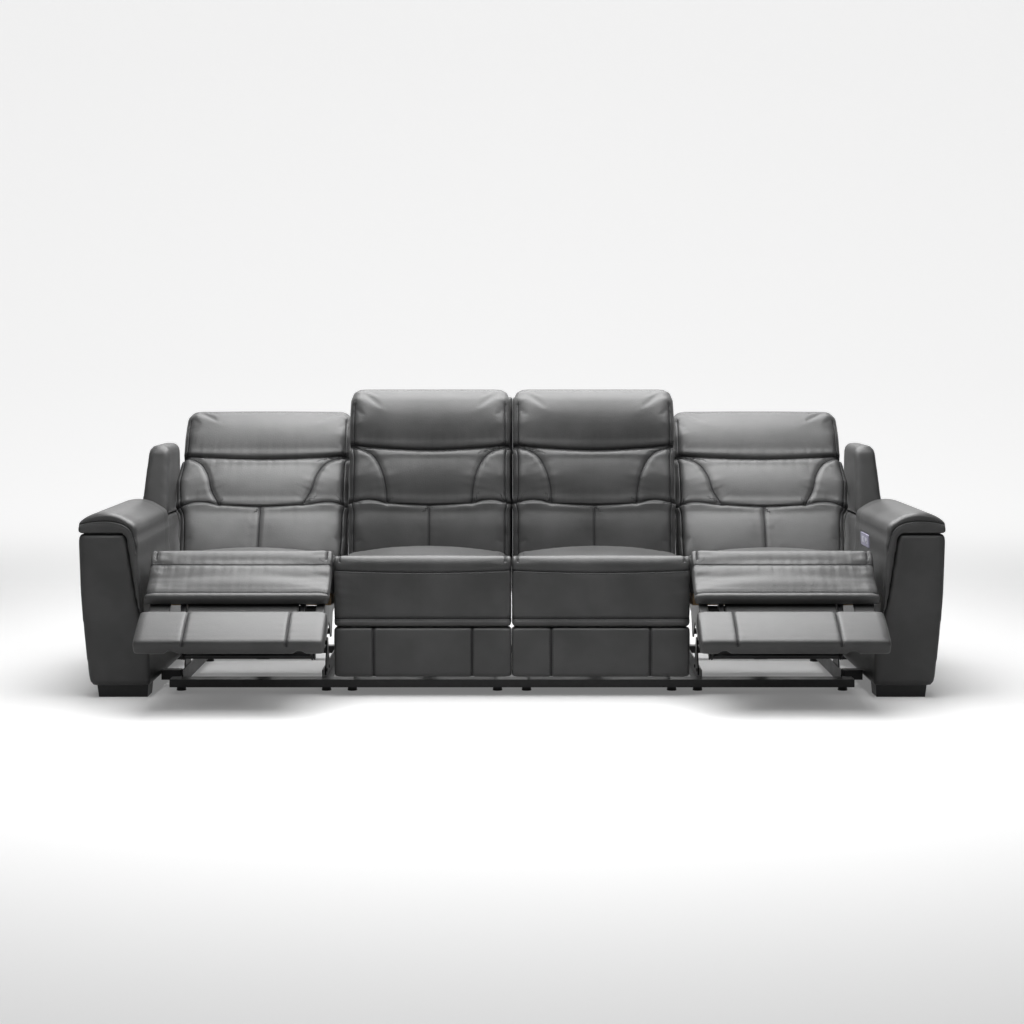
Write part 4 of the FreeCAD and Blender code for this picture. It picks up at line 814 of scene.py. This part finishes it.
def backdrop(studio):
    """Floor and wall in one sheet, with a wide curve between them."""
    shape = bmesh.new()
    corners = [(-14, -12, 0), (14, -12, 0)]
    edge = shape.edges.new([shape.verts.new(corner) for corner in corners])
    run = bmesh.ops.extrude_edge_only(shape, edges=[edge])
    moved = [part for part in run["geom"] if isinstance(part, bmesh.types.BMVert)]
    bmesh.ops.translate(shape, verts=moved, vec=(0, 17, 0))
    edges = [part for part in run["geom"] if isinstance(part, bmesh.types.BMEdge)]
    spun = bmesh.ops.spin(shape, geom=moved + edges, cent=(0, 5, 3), axis=(1, 0, 0),
                          angle=math.pi / 2, steps=24, use_duplicate=False)
    last = [part for part in spun["geom_last"] if isinstance(part, bmesh.types.BMEdge)]
    rise = bmesh.ops.extrude_edge_only(shape, edges=last)
    top = [part for part in rise["geom"] if isinstance(part, bmesh.types.BMVert)]
    bmesh.ops.translate(shape, verts=top, vec=(0, 0, 6))
    bmesh.ops.recalc_face_normals(shape, faces=shape.faces)
    mesh = bpy.data.meshes.new("backdrop")
    shape.to_mesh(mesh)
    shape.free()
    mesh.shade_smooth()
    floor = new_object("backdrop", mesh)
    material, shader = principled("backdrop_paper")
    shader.inputs["Roughness"].default_value = 0.9
    shader.inputs["Specular IOR Level"].default_value = 0.1
    wires = Wiring(material.node_tree)
    path = wires.add("ShaderNodeLightPath")
    paper = wires.blend(path.outputs["Is Camera Ray"], (*studio.bounce, 1), (*studio.floor, 1))
    wires.feed(shader, Base_Color=paper)
    seen = wires.maths("MAXIMUM", path.outputs["Is Camera Ray"], path.outputs["Is Glossy Ray"])
    seen = wires.maths("MAXIMUM", seen, path.outputs["Is Transmission Ray"])
    place = wires.add("ShaderNodeTexCoord").outputs["Object"]
    split = wires.add("ShaderNodeSeparateXYZ")
    wires.feed(split, Vector=place)
    wall = wires.step(split.outputs["Y"], 0.8, 6.0)
    glow = wires.maths("MULTIPLY_ADD", wall, studio.wall_glow - studio.floor_glow,
                       studio.floor_glow)
    shader.inputs["Emission Color"].default_value = (1, 1, 1, 1)
    wires.feed(shader, Emission_Strength=wires.maths("MULTIPLY", seen, glow))
    mesh.materials.append(material)


def principled(name):
    """A new material with its Principled shader."""
    material = bpy.data.materials.new("sofa_" + name)
    material.use_nodes = True
    return material, material.node_tree.nodes["Principled BSDF"]


class Wiring:
    """Adds nodes to a tree and links them in short calls."""

    def __init__(self, tree):
        self.tree = tree
        self.column = 0

    def add(self, kind, **settings):
        """A node with its settings; a setting that names an input sets or links that input."""
        node = self.tree.nodes.new(kind)
        self.column += 1
        node.location = (-1600 + 180 * (self.column % 9), 400 - 220 * (self.column // 9))
        for key, value in settings.items():
            if hasattr(node, key):
                setattr(node, key, value)
        return node

    def feed(self, node, **inputs):
        """Sets or links a node's inputs; i0, i1 name them by place, other words by name."""
        for key, value in inputs.items():
            name = int(key[1:]) if key[0] == "i" and key[1:].isdigit() else key.replace("_", " ")
            socket = node.inputs[name]
            if isinstance(value, bpy.types.NodeSocket):
                self.tree.links.new(value, socket)
            else:
                socket.default_value = value
        return node

    def maths(self, operation, first, second=0.0, third=0.0):
        """The result of a Math node."""
        node = self.add("ShaderNodeMath", operation=operation)
        self.feed(node, i0=first, i1=second, i2=third)
        return node.outputs[0]

    def step(self, value, low, high):
        """A smooth step from 0 to 1."""
        node = self.add("ShaderNodeMapRange", interpolation_type="SMOOTHSTEP")
        self.feed(node, Value=value, From_Min=low, From_Max=high)
        return node.outputs["Result"]

    def blend(self, share, first, second):
        """A colour mix."""
        node = self.add("ShaderNodeMix", data_type="RGBA")
        self.feed(node, i0=share, i6=first, i7=second)
        return node.outputs[2]


def grain_group():
    """Leather grain: pebbles, pores and soft hand, as a height and a mask."""
    name = "leather_grain"
    if name in bpy.data.node_groups:
        return bpy.data.node_groups[name]
    group = bpy.data.node_groups.new(name, "ShaderNodeTree")
    group.interface.new_socket("Vector", in_out="INPUT", socket_type="NodeSocketVector")
    group.interface.new_socket("Scale", in_out="INPUT", socket_type="NodeSocketFloat")
    group.interface.new_socket("Height", in_out="OUTPUT", socket_type="NodeSocketFloat")
    group.interface.new_socket("Patches", in_out="OUTPUT", socket_type="NodeSocketFloat")
    wires = Wiring(group)
    inside = wires.add("NodeGroupInput")
    outside = wires.add("NodeGroupOutput")
    place = inside.outputs["Vector"]
    pebbles = wires.add("ShaderNodeTexVoronoi", feature="SMOOTH_F1")
    wires.feed(pebbles, Vector=place, Scale=inside.outputs["Scale"], Smoothness=0.6)
    creases = wires.add("ShaderNodeTexVoronoi", feature="DISTANCE_TO_EDGE")
    wires.feed(creases, Vector=place, Scale=wires.maths("MULTIPLY", inside.outputs["Scale"], 0.21))
    hand = wires.add("ShaderNodeTexNoise")
    wires.feed(hand, Vector=place, Scale=26.0, Detail=4.0, Roughness=0.55)
    patches = wires.add("ShaderNodeTexNoise")
    wires.feed(patches, Vector=place, Scale=5.5, Detail=3.0, Roughness=0.5)
    fine = wires.maths("MULTIPLY", pebbles.outputs["Distance"], -0.30)
    lines = wires.maths("MULTIPLY", wires.step(creases.outputs["Distance"], 0.0, 0.14), 0.22)
    soft = wires.maths("MULTIPLY", hand.outputs["Fac"], 1.1)
    height = wires.maths("ADD", wires.maths("ADD", fine, lines), soft)
    wires.feed(outside, Height=height, Patches=patches.outputs["Fac"])
    return group


def seam_group():
    """Sewn seams: a groove mask, which dents the bump and carries the painted shade in the groove, and thread,
    from the distances stored on the mesh.
    """
    name = "sewn_seam"
    if name in bpy.data.node_groups:
        return bpy.data.node_groups[name]
    group = bpy.data.node_groups.new(name, "ShaderNodeTree")
    for socket in ("Stitch", "Offset"):
        group.interface.new_socket(socket, in_out="INPUT", socket_type="NodeSocketFloat")
    for socket in ("Groove", "Thread", "Height"):
        group.interface.new_socket(socket, in_out="OUTPUT", socket_type="NodeSocketFloat")
    wires = Wiring(group)
    inside = wires.add("NodeGroupInput")
    outside = wires.add("NodeGroupOutput")
    stored = wires.add("ShaderNodeAttribute", attribute_name="seam")
    split = wires.add("ShaderNodeSeparateXYZ")
    wires.feed(split, Vector=stored.outputs["Vector"])
    away = wires.maths("ABSOLUTE", split.outputs["X"])
    strength = wires.step(split.outputs["Z"], 0.25, 0.7)
    # Groove mask: it dents the bump, and the leather material uses it for the painted shade in the groove.
    groove_shade = wires.maths("SUBTRACT", 1.0, wires.step(away, 0.0008, 0.0042))
    groove_shade = wires.maths("MULTIPLY", groove_shade, strength)
    beat = wires.maths("DIVIDE", split.outputs["Y"], inside.outputs["Stitch"])
    beat = wires.maths("ABSOLUTE", wires.maths("SUBTRACT", wires.maths("FRACT", beat), 0.5))
    dash = wires.maths("SUBTRACT", 1.0, wires.step(beat, 0.30, 0.38))
    beside = wires.maths("ABSOLUTE", wires.maths("SUBTRACT", away, inside.outputs["Offset"]))
    row = wires.maths("SUBTRACT", 1.0, wires.step(beside, 0.0004, 0.0013))
    thread = wires.maths("MULTIPLY", wires.maths("MULTIPLY", dash, row), strength)
    drawn = wires.maths("MULTIPLY", row, strength)
    height = wires.maths("ADD", wires.maths("MULTIPLY", groove_shade, -1.0),
                         wires.maths("MULTIPLY", thread, 0.5))
    height = wires.maths("ADD", height, wires.maths("MULTIPLY", drawn, -0.35))
    wires.feed(outside, Groove=groove_shade, Thread=thread, Height=height)
    return group


def leather_material():
    """Charcoal leather with a fine grain, a soft hand, grooves with painted shade in them and thread along its
    seams.
    """
    settings = bpy.context.scene.sofa_leather
    material, shader = principled("leather")
    wires = Wiring(material.node_tree)
    place = wires.add("ShaderNodeTexCoord").outputs["Object"]
    grain = wires.add("ShaderNodeGroup")
    grain.node_tree = grain_group()
    wires.feed(grain, Vector=place, Scale=1 / settings.grain)
    seam = wires.add("ShaderNodeGroup")
    seam.node_tree = seam_group()
    wires.feed(seam, Stitch=settings.stitch, Offset=0.0055)
    tone = wires.blend(wires.step(grain.outputs["Patches"], 0.3, 0.75),
                       (*settings.colour, 1), (*settings.worn, 1))
    # Painted shade: along the seam groove the colour goes almost black (0.006), standing in for the shade inside
    # the groove.
    tone = wires.blend(wires.maths("MULTIPLY", seam.outputs["Groove"], 0.85), tone,
                       (0.006, 0.006, 0.007, 1))
    tone = wires.blend(seam.outputs["Thread"], tone, (*settings.thread, 1))
    rough = wires.maths("MULTIPLY_ADD", grain.outputs["Patches"], 0.16, settings.roughness - 0.08)
    rough = wires.maths("ADD", rough, wires.maths("MULTIPLY", seam.outputs["Groove"], 0.3))
    fine = wires.add("ShaderNodeBump")
    wires.feed(fine, Strength=0.35, Distance=0.0012, Height=grain.outputs["Height"])
    sewn = wires.add("ShaderNodeBump")
    wires.feed(sewn, Strength=0.9, Distance=0.0022, Height=seam.outputs["Height"],
               Normal=fine.outputs["Normal"])
    wires.feed(shader, Base_Color=tone, Roughness=rough, Normal=sewn.outputs["Normal"])
    shader.inputs["Specular IOR Level"].default_value = 0.5
    return material


def steel_material(name, colour, roughness, metal):
    """Painted or bare steel with faint streaks and rubbed places."""
    material, shader = principled(name)
    wires = Wiring(material.node_tree)
    place = wires.add("ShaderNodeTexCoord").outputs["Object"]
    patches = wires.add("ShaderNodeTexNoise")
    wires.feed(patches, Vector=place, Scale=22.0, Detail=5.0, Roughness=0.6)
    fine = wires.add("ShaderNodeTexNoise")
    wires.feed(fine, Vector=place, Scale=420.0, Detail=2.0, Roughness=0.6)
    dark = tuple(part * 0.75 for part in colour)
    pale = tuple(min(1, part * 1.5 + 0.004) for part in colour)
    tone = wires.blend(wires.step(patches.outputs["Fac"], 0.35, 0.7), (*dark, 1), (*pale, 1))
    rough = wires.maths("MULTIPLY_ADD", patches.outputs["Fac"], 0.22, roughness - 0.11)
    bump = wires.add("ShaderNodeBump")
    wires.feed(bump, Strength=0.25, Distance=0.0006, Height=fine.outputs["Fac"])
    wires.feed(shader, Base_Color=tone, Roughness=rough, Normal=bump.outputs["Normal"])
    shader.inputs["Metallic"].default_value = metal
    return material


def plain_material(name, colour, roughness):
    """Moulded plastic with a fine spark-eroded texture."""
    material, shader = principled(name)
    wires = Wiring(material.node_tree)
    place = wires.add("ShaderNodeTexCoord").outputs["Object"]
    fine = wires.add("ShaderNodeTexNoise")
    wires.feed(fine, Vector=place, Scale=900.0, Detail=2.0, Roughness=0.5)
    cloud = wires.add("ShaderNodeTexNoise")
    wires.feed(cloud, Vector=place, Scale=30.0, Detail=3.0, Roughness=0.5)
    pale = tuple(min(1, part * 1.25 + 0.003) for part in colour)
    tone = wires.blend(wires.step(cloud.outputs["Fac"], 0.3, 0.7), (*colour, 1), (*pale, 1))
    rough = wires.maths("MULTIPLY_ADD", cloud.outputs["Fac"], 0.12, roughness - 0.06)
    bump = wires.add("ShaderNodeBump")
    wires.feed(bump, Strength=0.2, Distance=0.0004, Height=fine.outputs["Fac"])
    wires.feed(shader, Base_Color=tone, Roughness=rough, Normal=bump.outputs["Normal"])
    return material


def wood_material():
    """Planed softwood of the seat frames."""
    material, shader = principled("deck_wood")
    wires = Wiring(material.node_tree)
    place = wires.add("ShaderNodeTexCoord").outputs["Object"]
    spread = wires.add("ShaderNodeMapping")
    wires.feed(spread, Vector=place, Scale=(1.2, 14.0, 14.0))
    rings = wires.add("ShaderNodeTexNoise")
    wires.feed(rings, Vector=spread.outputs["Vector"], Scale=6.0, Detail=6.0, Roughness=0.6)
    tone = wires.blend(wires.step(rings.outputs["Fac"], 0.35, 0.65), (0.30, 0.19, 0.10, 1),
                       (0.46, 0.32, 0.18, 1))
    bump = wires.add("ShaderNodeBump")
    wires.feed(bump, Strength=0.3, Distance=0.001, Height=rings.outputs["Fac"])
    wires.feed(shader, Base_Color=tone, Normal=bump.outputs["Normal"])
    shader.inputs["Roughness"].default_value = 0.65
    return material


class SOFA_PT_panel(bpy.types.Panel):
    """Lists the sofa's settings and steps"""

    bl_label = "Reclining Sofa"
    bl_idname = "SOFA_PT_panel"
    bl_space_type = "VIEW_3D"
    bl_region_type = "UI"
    bl_category = "Sofa"

    def draw(self, context):
        scene = context.scene
        for group in (scene.sofa_leather, scene.sofa_padding, scene.sofa_studio):
            box = self.layout.box()
            for name in group.__annotations__:
                box.prop(group, name)
        for step in STEPS:
            self.layout.operator(step.bl_idname)


STEPS = (SOFA_OT_studio, SOFA_OT_materials, SOFA_OT_backs, SOFA_OT_seats, SOFA_OT_leg_rests,
         SOFA_OT_shells, SOFA_OT_arms)
GROUPS = (SofaLeather, SofaPadding, SofaStudio)


def register():
    """Registers the classes and hangs the settings on the scene."""
    for item in GROUPS + STEPS + (SOFA_PT_panel,):
        bpy.utils.register_class(item)
    bpy.types.Scene.sofa_leather = PointerProperty(type=SofaLeather)
    bpy.types.Scene.sofa_padding = PointerProperty(type=SofaPadding)
    bpy.types.Scene.sofa_studio = PointerProperty(type=SofaStudio)


def unregister():
    """Takes the settings and the classes away again."""
    del bpy.types.Scene.sofa_leather
    del bpy.types.Scene.sofa_padding
    del bpy.types.Scene.sofa_studio
    for item in reversed(GROUPS + STEPS + (SOFA_PT_panel,)):
        bpy.utils.unregister_class(item)


def main():
    """Builds the whole scene, step by step."""
    register()
    bpy.ops.sofa.studio()
    bpy.ops.sofa.materials()
    bpy.ops.sofa.backs()
    bpy.ops.sofa.seats()
    bpy.ops.sofa.leg_rests()
    bpy.ops.sofa.shells()
    bpy.ops.sofa.arms()


if __name__ == "__main__":
    main()
